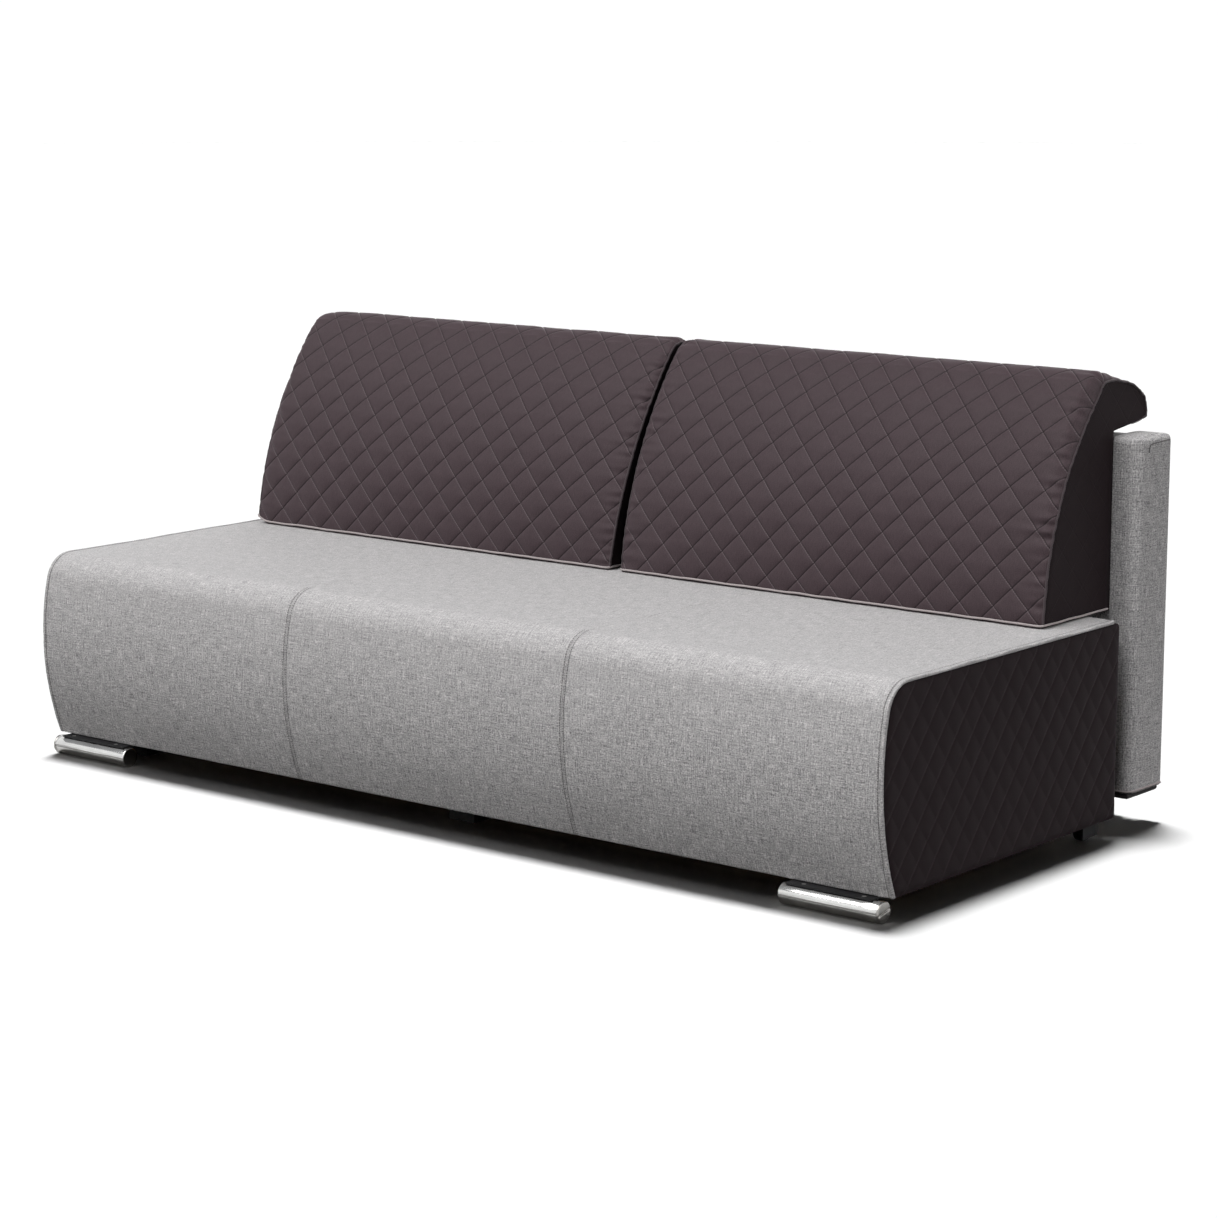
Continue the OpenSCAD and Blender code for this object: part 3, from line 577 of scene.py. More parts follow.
def cushion_front():
    """The cushion's front from its foot over the crest to the tip of its nose, as a path."""
    foot = np.array([CUSHION_FRONT, CUSHION_FOOT])
    top = arc(*CREST, CREST_TURN, CREST_TURN, 1)[0]
    chord = np.linalg.norm(top - foot)
    radius = (chord ** 2 / 4 + FRONT_SAG ** 2) / (2 * FRONT_SAG)
    along = (top - foot) / chord
    centre = (foot + top) / 2 + (radius - FRONT_SAG) * np.array([along[1], -along[0]])
    low, high = [math.degrees(math.atan2(*(end - centre)[::-1])) % 360 for end in (foot, top)]
    return measured(
        arc(*centre, radius, low, high, 60),
        arc(*CREST, CREST_TURN, NOSE_TURN, 24),
        arc(*NOSE, NOSE_TURN, 0, 18),
        arc(*NOSE_TIP, 0, -90, 14),
    )


def cushion_shape(side, sign, front):
    """Function that places cushion points from x and running length, on the front's base form."""
    x0, x1 = sorted(sign * x for x in CUSHION_X)
    length = front[1][-1]

    def place(xs, ss, rise=0.0):
        x = xs[:, None]
        u = (x - x0) / (x1 - x0)
        swell = CROWN * (1 - (2 * u - 1) ** 4) * np.sin(np.pi * np.minimum(1, ss / CROWN_LENGTH)) + rise
        yz = at(front, ss)[None] + swell[..., None] * outward(front, ss)[None]
        yz[..., 1] = np.maximum(yz[..., 1], CUSHION_FOOT)
        pull = END_DRAW * fade(inward(x, x0, x1), DRAW_REACH) ** 2 * np.sign((x0 + x1) / 2 - x)
        x = x + pull * np.sin(np.pi * ss / length)
        foot_share = fade(ss, LEAN_LENGTH) ** 1.5
        outer_share = 1 - u if sign < 0 else u
        for (at_foot, at_crest), share in zip(LEAN[side], (outer_share, 1 - outer_share)):
            x = x + share * (at_crest + (at_foot - at_crest) * foot_share)
        return lay(x, yz)
    return place


def cushion_fall(side, near_outer, near_inner, ss):
    """How far a cushion lies below its crown, towards its end seams and over its crest."""
    fall = hump(ss, *CREST_SETTLE)
    for near, table, share in ((near_outer, OUTER_FALL[side], FALL_SHARE[side]),
                               (near_inner, INNER_FALL, INNER_FALL_SHARE)):
        shoulder = 1 - np.sqrt(1 - fade(near, SHOULDER) ** 2)
        fall = fall + shoulder * (END_ROUND + share * np.interp(ss, FALL_AT, table))
    return fall + hump(ss, CREST_DROOP[side], *DROOP_AT) * fade(near_outer, DROOP_REACH) ** 2


def cushion_rise(rng, side, xs, ss, place, near_outer):
    """How far the quilted front stands off its base form, with its puffs, grooves and puckers."""
    anchor = QUILT_AT[side]
    x = xs[:, None]
    near_inner = xs[-1] - xs[0] - near_outer
    near = np.minimum(near_outer, near_inner)
    ripple = [waves(rng, ss, 0.014, 0.030) for _ in SIDES]
    ripple = np.where(x < (xs[0] + xs[-1]) / 2, *ripple)
    drift = 0.0009 * ripples(rng, x, ss, (0.12, 0.30), (0.10, 0.25))
    pucker = np.where(near_outer < near_inner, PUCKER[side], INNER_PUCKER)
    pucker = pucker * np.exp(-near / PUCKER_REACH) * np.clip(near / 0.004, 0.3, 1)
    puff = puff_of(xs, ss, anchor, place, -1) * ease(near, 0, PUFF_REACH) * (1 - hump(ss, *CREST_FLAT))
    groove = groove_of(x, ss, anchor, GROOVES)
    return puff - groove + pucker * ripple + drift - cushion_fall(side, near_outer, near_inner, ss)


def make_cushion(side, sign):
    """Quilted back cushion with drawn-in ends, self piping and puckers at its end seams."""
    rng = np.random.default_rng(21 + sign)
    front = cushion_front()
    length = front[1][-1]
    x0, x1 = sorted(sign * x for x in CUSHION_X)
    anchor = QUILT_AT[side]
    xs = stations(x0, x1, anchor[0], FINE, CUSHION_EDGE)
    ss = stations(0, length, anchor[1], FINE)
    near_outer = (xs - x0 if sign < 0 else x1 - xs)[:, None]
    place = cushion_shape(side, sign, front)
    outer = place(xs, ss, cushion_rise(rng, side, xs, ss, place, near_outer))
    lift = NOSE_LIFT * np.exp(-near_outer / NOSE_REACH)
    tip = ss > NOSE_AT
    outer[:, tip, 2] += lift * np.maximum(0, NOSE[1] - outer[:, tip, 2])
    outer[..., 2] += FOOT_ROUND[side] * fade(near_outer, FOOT_ROUND_REACH) ** 2 * fade(ss, 0.07)
    up = ease(ss, 0, REAR_CORNER)
    over = ease(ss, REAR_CORNER, length - REAR_CORNER)
    rear_yz = np.stack([CUSHION_REAR + (UNDERSIDE_REAR - CUSHION_REAR) * over,
                        CUSHION_FOOT + (UNDERSIDE - CUSHION_FOOT) * up], 1)
    inner = lay(outer[..., 0], rear_yz)
    inner[..., 2] += lift * (NOSE[1] - UNDERSIDE) * (0.6 * up + 0.4 * over)
    skin = Skin()
    skin.patch(outer, meshed((xs - anchor[0])[:, None], ss - anchor[1]), lean=lean_of(xs, ss, anchor))
    close_block(skin, outer, inner, 24, end_slot=1, step=2)
    for row, way in ((0, -1), (-1, 1)):
        line = spread(outer[row] + np.array([way * 0.0004, 0, 0]), 0.005)
        add_tube(skin, line[line[:, 2] > CUSHION_FOOT + 0.0022], CORD_RADIUS, 8, slot=2)
    # The ends take the darker plum copy, which is painted shade
    piece = skin.build("quilted_cushion_" + side, [PLUM, PLUM_END_SHADED, PLUM_CORD])
    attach(piece, "cushion_" + side)
    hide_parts("cushion_" + side, "cushion_core_" + side)
    make_foot_piping(rng, side, sign, x0, x1)


def make_foot_piping(rng, side, sign, x0, x1):
    """Light piping round a cushion's foot."""
    y = CUSHION_FRONT - 0.0027
    z = CUSHION_FOOT + 0.0044
    rear = CUSHION_REAR - 0.0052
    shifts = [foot for foot, _ in LEAN[side]][::-sign]
    ends = [x0 - 0.0022 + shifts[0], x1 + 0.0022 + shifts[1]]
    route = [(ends[0], rear, z), (ends[0], y, z), (ends[1], y, z), (ends[1], rear, z)]
    line = spread(corner_run(route, 0.010), 0.006)
    line[:, 1] += 0.0004 * waves(rng, line[:, 0], 0.05, 0.14)
    line[:, 2] += 0.0006 * waves(rng, line[:, 0] + line[:, 1], 0.05, 0.16)
    near_outer = np.abs(line[:, 0] - (ends[0] if sign < 0 else ends[1]))
    line[:, 2] += FOOT_ROUND[side] * fade(near_outer, FOOT_ROUND_REACH) ** 2 * fade(line[:, 1] - y, 0.10)
    skin = Skin()
    add_tube(skin, line[1:-1], FOOT_CORD_RADIUS)
    cord = skin.build("foot_piping_" + side, [PIPING])
    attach(cord, "cushion_" + side)
    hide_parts("cushion_piping_" + side)


# Seat

def seat_front():
    """The seat's outline from its front foot over the top to its rear foot, as a path."""
    _, z, radius = SEAT_BELLY
    low = 180 + math.degrees(math.asin((z - FLOOR_GAP) / radius))
    return measured(
        arc(*SEAT_BELLY, low, SEAT_NOSE_TURN, 40),
        arc(*SEAT_NOSE, SEAT_NOSE_TURN, 90, 24),
        arc(*SEAT_HEEL, 90, 0, 10),
        [[SEAT_REAR, SEAT_REAR_FOOT]],
    )


def seat_columns(length):
    """Running lengths of the seat cover's columns, closer at its hems and over the front edge."""
    hem = np.array([0, 0.0008, 0.002, 0.004, 0.007])
    inner = np.arange(0.012, length - 0.004, 0.010)
    bends = np.arange(0.30, FRONT_END, 0.004)
    ss = np.unique(np.round(np.concatenate([hem, inner, bends, length - hem]), 6))
    if len(ss) % 2 == 0:
        ss = np.insert(ss, 60, (ss[59] + ss[60]) / 2)
    return ss


def seam_depth(near, ss, outside):
    """How deep a cover is rolled into its seam and dented by its topstitch."""
    if outside:
        return roll(near, END_ROLL) + hump(near, OUTER_DENT[0], OUTER_STITCH_IN, OUTER_DENT[1])
    front = ease(FRONT_END - ss, 0, FRONT_FADE)
    return roll(near, SEAM_ROLL) * (0.6 + 0.4 * front) + hump(near, DENT[0], STITCH_IN, DENT[1]) * front


def make_seat_cover(name, x0, x1, replaced):
    """One width of the seat's linen cover, rolled into its seams at both ends."""
    rng = np.random.default_rng(int((x0 + 2) * 1000))
    path = seat_front()
    length = path[1][-1]
    xs = stations(x0, x1, 0.0, SEAT_STEP, SEAT_EDGE)
    x = xs[:, None]
    ss = seat_columns(length)
    depth = seam_depth(x - x0, ss, x0 < -SEAM_X) + seam_depth(x1 - x, ss, x1 > SEAM_X)
    rest = 0.0009 * (1 + ripples(rng, x, ss, (0.15, 0.5), (0.12, 0.4)))
    lie = np.clip(rest, 0, 0.002) * ease(inward(ss, 0, length), 0, 0.05)
    rise = -(depth + lie) - roll(ss, FOOT_ROLL) - roll(length - ss, REAR_ROLL)
    out = outward(path, ss)[None]
    outer = lay(x, at(path, ss)[None] + rise[..., None] * out)
    # end is -1 or 1 at the sofa's left or right end. There the foot stays thin beside the end panel
    end = int(x1 > SEAM_X) - int(x0 < -SEAM_X)
    near_end = x - x0 if end < 0 else x1 - x
    clear = ease(near_end, 0.011, 0.004) if end else 1.0
    thick = SHELL + FOOT_HEM * clear * fade(ss, 0.010)
    inner_yz = at(path, ss)[None] - np.atleast_2d(thick)[..., None] * out
    inner_yz[..., 1] = np.maximum(inner_yz[..., 1], FLOOR_GAP + 0.0002)
    inner = lay(x, inner_yz)
    tuck = -end * REAR_TUCK * fade(near_end, 0.03) * ease(ss, length - 0.125, 0.015)
    outer[..., 0] += tuck
    inner[..., 0] += tuck
    skin = Skin()
    skin.patch(outer, meshed(x, ss))
    close_block(skin, outer, inner, 4)
    for seam, way in ((x0, 1), (x1, -1)):
        inset, stop = STITCH_IN, STITCH_END
        if abs(seam) > SEAM_X:
            inset, stop = OUTER_STITCH_IN, length - SIDE_STITCH_END
        row = seam + way * inset
        add_stitches(skin, path, row, stop, -float(np.interp(row, xs, depth.mean(1))))
    piece = skin.build(name, [LINEN_SEAT, THREAD])
    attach(piece, "seat")
    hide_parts(*replaced)


def add_stitches(skin, path, x, end, sink):
    """Adds a row of thread stitches that lie in a seat cover's topstitch groove."""
    share = np.linspace(0, 1, 5)
    bulge = np.sin(np.pi * share)
    lift = 0.0004 * bulge + 0.00005
    for s in np.arange(0.004, end - STITCH_LONG, STITCH_PITCH):
        run = s + STITCH_LONG * share
        normal = outward(path, run)
        middle = at(path, run) + (sink + 0.0002) * normal
        rows = []
        for across, up in ((-0.5, 0.0), (-0.25, 0.8), (0.25, 0.8), (0.5, 0.0), (0.0, -0.9)):
            yz = middle + (up * lift)[:, None] * normal
            narrow = STITCH_WIDE * across * (0.35 + 0.65 * bulge)
            rows.append(np.stack([x + narrow, yz[:, 0], yz[:, 1]], 1))
        rows.append(rows[0])
        grid = np.stack(rows, 1)
        tips = np.broadcast_to(grid.mean(1, keepdims=True), grid.shape)
        grid = np.concatenate([tips[:1], grid, tips[-1:]])
        skin.patch(grid, grid[..., :2], slot=1)


def panel_front_at(heights):
    """Y of an end panel's curved front edge at the given heights."""
    path = seat_front()
    run = np.linspace(0, path[1][-1], 900)
    rim = at(path, run) - PANEL_INSET * outward(path, run)
    rim = rim[rim[:, 0] < 0]
    rim = rim[np.argsort(rim[:, 1])]
    return np.interp(heights, rim[:, 1], rim[:, 0])


def make_end_cover(side, sign):
    """Dark quilted panel on the seat's end, puffed between its stitch lines, in a darker plum copy that
    paints shade on it.
    """
    low, high = FLOOR_GAP + 0.0005, SEAT_TOP - PANEL_INSET
    rear = SEAT_REAR - 0.0003
    wide, tall = PANEL_SCALE
    anchor = (PANEL_QUILT_AT[0] * wide, PANEL_QUILT_AT[1] * tall)
    ss = stations(low * tall, high * tall, anchor[1], FINE, (0.0, 0.0015, 0.0035))
    heights = ss / tall
    y_low = panel_front_at(heights)
    up = np.clip(heights - (high - PANEL_CORNER), 0, PANEL_CORNER)
    y_high = rear - PANEL_CORNER + np.sqrt(PANEL_CORNER ** 2 - up ** 2)
    grid_y = stations(PANEL_FRONT * wide, rear * wide, anchor[0], FINE)
    ys = np.clip(grid_y[:, None] / wide, y_low, y_high)
    zs = np.broadcast_to(heights, ys.shape)
    border = np.minimum(inward(ys, y_low, y_high), inward(zs, low, high))

    def place(cy, cs):
        return meshed(sign * PANEL_MIDDLE, cy[:, None] / wide, cs / tall)

    puff = puff_of(grid_y, ss, anchor, place, sign)
    groove = groove_of(ys * wide, zs * tall, anchor, PANEL_GROOVES)
    pucker = waves(np.random.default_rng(77 + sign), heights, 0.018, 0.05) * np.exp((y_low - ys) / 0.022)
    hem = ease(border, 0, 0.010) ** 0.5
    x = PANEL_BASE + (0.0040 - groove + 0.0007 * pucker) * hem
    x = np.minimum(x + 0.40 * np.clip(puff, 0, 0.003) * ease(border, 0, 0.015), PANEL_LIMIT)
    outer = meshed(sign * x, ys, zs)
    inner = meshed(sign * PANEL_INNER, ys, zs)
    skin = Skin()
    flat = meshed(ys * wide - anchor[0], zs * tall - anchor[1])
    skin.patch(outer, flat, lean=lean_of(grid_y, ss, anchor))
    close_block(skin, outer, inner, 2)
    piece = skin.build("quilted_end_" + side, [PLUM_PANEL_SHADED])
    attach(piece, "seat")
    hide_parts("end_cover_" + side)


# Back

def back_rows():
    """X of the back cover's rows, and how far each is turned round an upright edge."""
    straight = BACK_HALF - BACK_EDGE
    flat_x = stations(-straight, straight, 0.0, 0.020, (0.0, 0.010))
    pocket_x = [sign * x for _, sign in SIDES for x in POCKET[:2]]
    flat_x = np.unique(np.round(np.concatenate([flat_x, pocket_x]), 6))
    flat_x = flat_x[[not any(0 < abs(x - p) < 0.006 for p in pocket_x) for x in flat_x]]
    theta = np.radians(np.linspace(90, 0, 9))
    turned = np.concatenate([-theta, np.zeros(len(flat_x) - 2), theta[::-1]])
    return np.concatenate([np.full(9, -straight), flat_x[1:-1], np.full(9, straight)]), turned


def back_columns():
    """Heights of the back cover's columns, and how far each is drawn in at the top and the foot."""
    head = BACK_TOP - BACK_TOP_EDGE
    low = np.concatenate([BACK_FOOT + np.array([0, 0.002, 0.005]),
                          np.arange(0.085, POCKET[2] - 0.01, 0.0125), [POCKET[2]],
                          np.arange(0.185, head - 0.02, 0.0125),
                          head - np.array([0.008, 0.004, 0.002, 0.001, 0])])
    phi = np.radians(np.linspace(0, 90, 8))[1:]
    heights = np.concatenate([low, head + BACK_TOP_EDGE * np.sin(phi)])
    heights[-1] = BACK_TOP
    insets = np.concatenate([np.zeros(len(low)), BACK_TOP_EDGE * (1 - np.cos(phi))])
    return heights, insets + 0.0015 * np.exp(-(heights - BACK_FOOT) / 0.003)


def back_sheet(rows, columns, y_face, way, edge):
    """The back cover's front or rear, turned round its upright edges and its top edge."""
    xs, turned = rows
    heights, insets = columns
    turned = turned[:, None]
    rho = np.maximum(edge - insets, 0.001)
    straight = BACK_HALF - BACK_EDGE
    base = np.where(np.abs(xs) > straight - TINY, np.sign(xs) * (BACK_HALF - edge), xs)[:, None]
    limit = BACK_HALF - insets - rho * (1 - np.sin(np.abs(turned)))
    x = np.clip(base + rho * np.sin(turned), -limit, limit)
    return meshed(x, y_face + way * (insets + rho * (1 - np.cos(turned))), heights)


def back_end(front, rear, heights, sign):
    """One end of the back cover, dented along its seam and a little full elsewhere."""
    seam = (BACK_SEAM_Y - BACK_FRONT) / (BACK_REAR - BACK_FRONT)
    shares = np.concatenate([np.linspace(0, 1, 15), seam + np.arange(-4, 5) * 0.010])
    shares = np.unique(np.round(shares, 4))
    end = between(front, rear, shares)
    dent = BACK_DENT[0] * bell(seam_distance(end[..., 1], end[..., 2]), BACK_DENT[1])
    belly = BACK_BELLY * np.sin(np.pi * heights / BACK_TOP)
    end[..., 0] -= sign * (dent - belly) * ease(inward(shares, 0, 1), 0, 0.08)[:, None]
    return end


def back_top(front, rear):
    """The top of the back cover, slightly domed beyond the cushions."""
    top = between(front, rear, 12)
    wide = np.abs(front[:, 0])
    bare = ease(wide, BARE_X, BARE_SPAN) * ease(wide.max() - wide, 0, 0.008) ** 0.5
    top[..., 2] += BACK_DOME * (1 - np.linspace(-1, 1, 13) ** 2)[:, None] * bare
    return top


def make_back_cover():
    """Linen cover of the back, with rounded upright edges, arm pockets and a seam on each end."""
    rng = np.random.default_rng(5)
    rows = back_rows()
    columns = back_columns()
    xs, turned = rows
    heights, insets = columns
    front = back_sheet(rows, columns, BACK_FRONT, 1, BACK_EDGE)
    rear = back_sheet(rows, columns, BACK_REAR, -1, BACK_REAR_EDGE)
    dip = 0.0006 * (1 + ripples(rng, xs[:, None], heights, (0.2, 0.5), (0.15, 0.4)))
    dip = dip * (np.cos(turned) ** 4)[:, None]
    front[..., 1] += dip
    rear[..., 1] -= dip[::-1]
    raised = BACK_RAISE * ease(np.abs(xs), BARE_X, BARE_SPAN)[:, None] * ease(heights, 0.60, 0.10) ** 2
    front[..., 2] += raised
    rear[..., 2] += raised
    flat = meshed((xs + BACK_EDGE * turned)[:, None], BACK_FOOT + running(np.stack([heights, insets], 1)))
    mids = np.abs(xs[1:] + xs[:-1]) / 2
    inside = (mids > POCKET[0]) & (mids < POCKET[1]) & (turned[1:] == 0)
    drop = inside[:, None] & (heights < POCKET[2] - TINY)
    skin = Skin()
    skin.patch(front, flat, drop=drop)
    skin.patch(rear, flat, drop=drop)
    for row, sign in ((0, -1), (-1, 1)):
        end = back_end(front[row], rear[row], heights, sign)
        skin.patch(end, end[..., 1:])
    top = back_top(front[:, -1], rear[:, -1])
    skin.patch(top, top[..., :2])
    piece = skin.build("back_cover_linen", [LINEN])
    add_back_seams()
    wall = piece.modifiers.new("cloth thickness", "SOLIDIFY")
    wall.thickness = BACK_WALL
    wall.offset = -1
    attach(piece, "back")
    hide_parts("back_cover", "back_pad_front", "back_pad_rear")


def add_back_seams():
    """Stitched seam line on each end of the back, round its front corner and along its top."""
    skin = Skin()
    for _, sign in SIDES:
        x = sign * (BACK_HALF + 0.0004)
        route = [(x, BACK_SEAM_Y + 0.002, BACK_SEAM_Z - 0.0145), (x, BACK_SEAM_Y + 0.002, BACK_SEAM_Z),
                 (x, BACK_REAR - 0.007, BACK_SEAM_Z + 0.002)]
        line = spread(corner_run(route, 0.014), 0.003)
        line[:, 0] += sign * BACK_BELLY * np.sin(np.pi * line[:, 2] / BACK_TOP)
        add_tube(skin, line, THREAD_RADIUS, 6)
    piece = skin.build("back_seam_thread", [THREAD])
    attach(piece, "back")


def seam_distance(y, z):
    """Distance in an end's plane to the seam that runs up its front edge and along its top."""
    dy = y - BACK_SEAM_Y
    dz = BACK_SEAM_Z - z
    ay = np.maximum(BACK_SEAM_CORNER - dy, 0)
    az = np.maximum(BACK_SEAM_CORNER - dz, 0)
    round_corner = BACK_SEAM_CORNER - np.hypot(ay, az)
    return np.abs(np.where((ay > 0) & (az > 0), round_corner, np.minimum(dy, dz)))


def make_back_piping():
    """Light piping along the back's foot: its front between the pockets, and both ends."""
    z = BACK_PIPING_Z
    skin = Skin()
    x = POCKET[0] - 0.002
    y = BACK_FRONT - 0.0022
    add_tube(skin, spread([(-x, y, z), (x, y, z)], 0.02), CORD_RADIUS)
    for _, sign in SIDES:
        end = sign * (BACK_HALF + 0.0006)
        route = [(sign * (POCKET[1] + 0.002), y, z), (end, y, z), (end, BACK_REAR - 0.006, z)]
        add_tube(skin, spread(corner_run(route, BACK_EDGE, 10), 0.005), CORD_RADIUS)
    piece = skin.build("back_foot_piping", [PIPING])
    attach(piece, "back")
    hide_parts("back_piping")


# Sheets and straps

def soft_slabs(name, boxes, key, body, replaced):
    """Felt or webbing strips with rounded edges, as one piece."""
    skin = Skin()
    for low, high in boxes:
        r = (high[2] - low[2]) / 2
        edge = np.array([0.0, 0.25, 0.6, 1.0]) * r
        axes = []
        for k in (0, 1):
            inner = np.arange(low[k] + 2 * r, high[k] - 2 * r, STRIP_STEP)
            values = np.concatenate([low[k] + edge, inner, high[k] - edge])
            axes.append(np.unique(np.round(values, 6)))
        x, y = axes[0][:, None], axes[1]
        near = np.minimum(inward(x, low[0], high[0]), inward(y, low[1], high[1]))
        swell = r - roll(near, r)
        for way in (1, -1):
            skin.patch(meshed(x, y, (low[2] + high[2]) / 2 + way * swell), meshed(x, y))
    piece = skin.build(name, [SLOTS[key]])
    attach(piece, body)
    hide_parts(replaced)
    return piece


def make_strips():
    """Underlining and webbing of the seat, felt on the box and along the back's foot."""
    low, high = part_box("seat_lining")
    lining = soft_slabs("seat_underlining", [(low, high)], "felt", "seat", "seat_lining")
    low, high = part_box("seat_webbing")
    starts = low[0] + np.arange(WEB_COUNT) * (high[0] - low[0] - WEB_WIDTH) / (WEB_COUNT - 1)
    boxes = [((x, low[1], low[2]), (x + WEB_WIDTH, high[1], high[2])) for x in starts]
    soft_slabs("seat_straps", boxes, "webbing", "seat", "seat_webbing")
    low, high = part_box("felt_strips")
    (x0, y0, z0), (x1, y1, z1) = low, high
    y2, y3 = y0 + FELT_WIDTH, y1 - FELT_WIDTH
    boxes = [(low, (x1, y2, z1)), ((x0, y3, z0), high),
             ((x0, y2, z0), (x0 + FELT_WIDTH, y3, z1)), ((x1 - FELT_WIDTH, y2, z0), (x1, y3, z1))]
    soft_slabs("box_felt", boxes, "felt", "base", "felt_strips")
    low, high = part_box("back_hem")
    spans = ((-HEM_HALF, -POCKET[1]), (-POCKET[0], POCKET[0]), (POCKET[1], HEM_HALF))
    boxes = [((x0, low[1] - 0.003, high[2] - HEM_HEIGHT), (x1, high[1] + 0.005, high[2]))
             for x0, x1 in spans]
    soft_slabs("back_hem_felt", boxes, "felt", "back", "back_hem")


# Legs

def leg_profile(length):
    """(along, radius) points of a leg from its inner end, and where its bar, plug and plug face start."""
    turn = np.radians(np.linspace(0, 90, 6))
    points = [(0.0, (LEG_RADIUS - LEG_BEVEL) * k / 8) for k in range(8)]
    bar = len(points)
    points += [(LEG_BEVEL * (1 - math.cos(a)), LEG_RADIUS - LEG_BEVEL * (1 - math.sin(a))) for a in turn]
    points += [(length * k / 6, LEG_RADIUS) for k in range(1, 6)]
    cap = length - LEG_CAP
    steps = ((cap - 0.0006, 0), (cap, 0.0006), (cap + 0.0004, 0.0012), (cap + 0.0008, 0.0006),
             (cap + 0.0014, 0), (length - 0.0016, 0), (length - 0.0006, 0.0005), (length, LEG_CAP_ROUND))
    points += [(along, LEG_RADIUS - inset) for along, inset in steps]
    rim = len(points)
    points += [(length, (LEG_RADIUS - LEG_CAP_ROUND) * (1 - k / 14)) for k in range(1, 15)]
    return np.array(points), bar, rim - 5, rim


def make_leg(side, sign):
    """Chrome bar along the seat's front, with a slotted plug in its outer end."""
    low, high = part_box("front_leg_" + side)
    y = (low[1] + high[1]) / 2
    z = LEG_RADIUS
    inner, outer = sorted((low[0], high[0]), key=abs)
    points, bar, plug, rim = leg_profile(abs(outer - inner))
    angle = np.linspace(0, 2 * np.pi, LEG_TURNS + 1)
    along, wide = points[:, :1], points[:, 1:]
    grid = meshed(inner + sign * along, y + wide * np.cos(angle), z + wide * np.sin(angle))
    grid[..., 2] = np.minimum(grid[..., 2], high[2])
    tilt = math.radians(LEG_SLOT_TILT)
    off = (grid[rim:, :, 2] - z) * math.cos(tilt) - (grid[rim:, :, 1] - y) * math.sin(tilt)
    grid[rim:, :, 0] -= sign * LEG_SLOT_DEPTH * np.exp(-(off / LEG_SLOT_HALF) ** 4)
    flat = meshed(running(points)[:, None], angle * LEG_RADIUS)
    skin = Skin()
    for start, end, slot in ((0, bar, 1), (bar, plug, 0), (plug, len(points) - 1, 1)):
        skin.patch(grid[start:end + 1], flat[start:end + 1], slot=slot)
    piece = skin.build("chrome_leg_" + side, [CHROME, LEG_PLUG])
    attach(piece, "seat")
    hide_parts("front_leg_" + side)


# Materials

def shade(tone, factor, plus=0.0):
    """A tone made darker or lighter."""
    return tuple(c * factor + plus for c in tone)


class Nodes:
    """Short forms for building a node material."""

    def __init__(self, name):
        self.material = bpy.data.materials.new(name)
        self.material.use_nodes = True
        self.tree = self.material.node_tree
        self.tree.nodes.clear()

    def put(self, node, key, value):
        """Links a socket to an input, or sets the input's own value."""
        if isinstance(value, bpy.types.NodeSocket):
            self.tree.links.new(value, node.inputs[key])
        else:
            node.inputs[key].default_value = value

    def make(self, kind, values, **settings):
        node = self.tree.nodes.new("ShaderNode" + kind)
        for key, value in settings.items():
            setattr(node, key, value)
        for key, value in values.items():
            self.put(node, key, value)
        return node

    def math(self, operation, a, b=0.0, clamp=False):
        return self.make("Math", {0: a, 1: b}, operation=operation, use_clamp=clamp).outputs[0]

    def add(self, a, b):
        return self.math("ADD", a, b)

    def sub(self, a, b):
        return self.math("SUBTRACT", a, b)

    def mul(self, a, b):
        return self.math("MULTIPLY", a, b)

    def total(self, *parts):
        """Sum of (value, weight) pairs."""
        value = self.mul(*parts[0])
        for part in parts[1:]:
            value = self.add(value, self.mul(*part))
        return value

    def band(self, value, low, high, start=0.0, end=1.0):
        """Goes from start to end as value goes from low to high."""
        values = {0: value, 1: low, 2: high, 3: start, 4: end}
        return self.make("MapRange", values).outputs[0]

    def line(self, value, centre, half):
        """1 where value is at the centre, falling to 0 at half the line's width."""
        away = self.math("ABSOLUTE", self.sub(value, centre))
        return self.math("SUBTRACT", 1.0, self.math("DIVIDE", away, half), clamp=True)

    def wave(self, value, pitch):
        return self.math("SINE", self.mul(value, 2 * math.pi / pitch))

    def axes(self, vector):
        return self.make("SeparateXYZ", {0: vector}).outputs

    def cloth(self):
        return self.make("UVMap", {}, uv_map="cloth").outputs[0]

    def place(self):
        return self.make("TexCoord", {}).outputs["Object"]

    def scaled(self, vector, scale):
        """A vector scaled by one number or by one for each axis."""
        scale = (scale,) * 3 if np.isscalar(scale) else scale
        return self.make("Mapping", {"Vector": vector, "Scale": scale}).outputs[0]

    def noise(self, vector, scale, detail=2.0, rough=0.5):
        values = {"Vector": self.scaled(vector, scale), "Scale": 1.0, "Detail": detail,
                  "Roughness": rough}
        return self.make("TexNoise", values).outputs[0]

    def ramp(self, factor, *stops):
        node = self.make("ValToRGB", {0: factor})
        elements = node.color_ramp.elements
        while len(elements) < len(stops):
            elements.new(0.5)
        for element, (position, colour) in zip(elements, stops):
            element.position = position
            element.color = (*colour, 1)
        return node.outputs[0]

    def mix(self, factor, colour, tone):
        """Mixes a colour with a fixed tone."""
        values = {0: factor, 6: colour, 7: (*tone, 1)}
        return self.make("Mix", values, data_type="RGBA").outputs[2]

    def finish(self, colour, rough, height=None, depth=0.0005, strength=1.0, **fixed):
        """Closes the material with a shader. fixed are values of the shader's own sockets."""
        shader = self.make("BsdfPrincipled", {"Base Color": colour, "Roughness": rough})
        for key, value in fixed.items():
            self.put(shader, key.replace("_", " "), value)
        if height is not None:
            values = {"Height": height, "Distance": depth, "Strength": strength}
            self.put(shader, "Normal", self.make("Bump", values).outputs[0])
        return self.output(shader)

    def output(self, shader):
        self.make("OutputMaterial", {0: shader.outputs[0]})
        return self.material


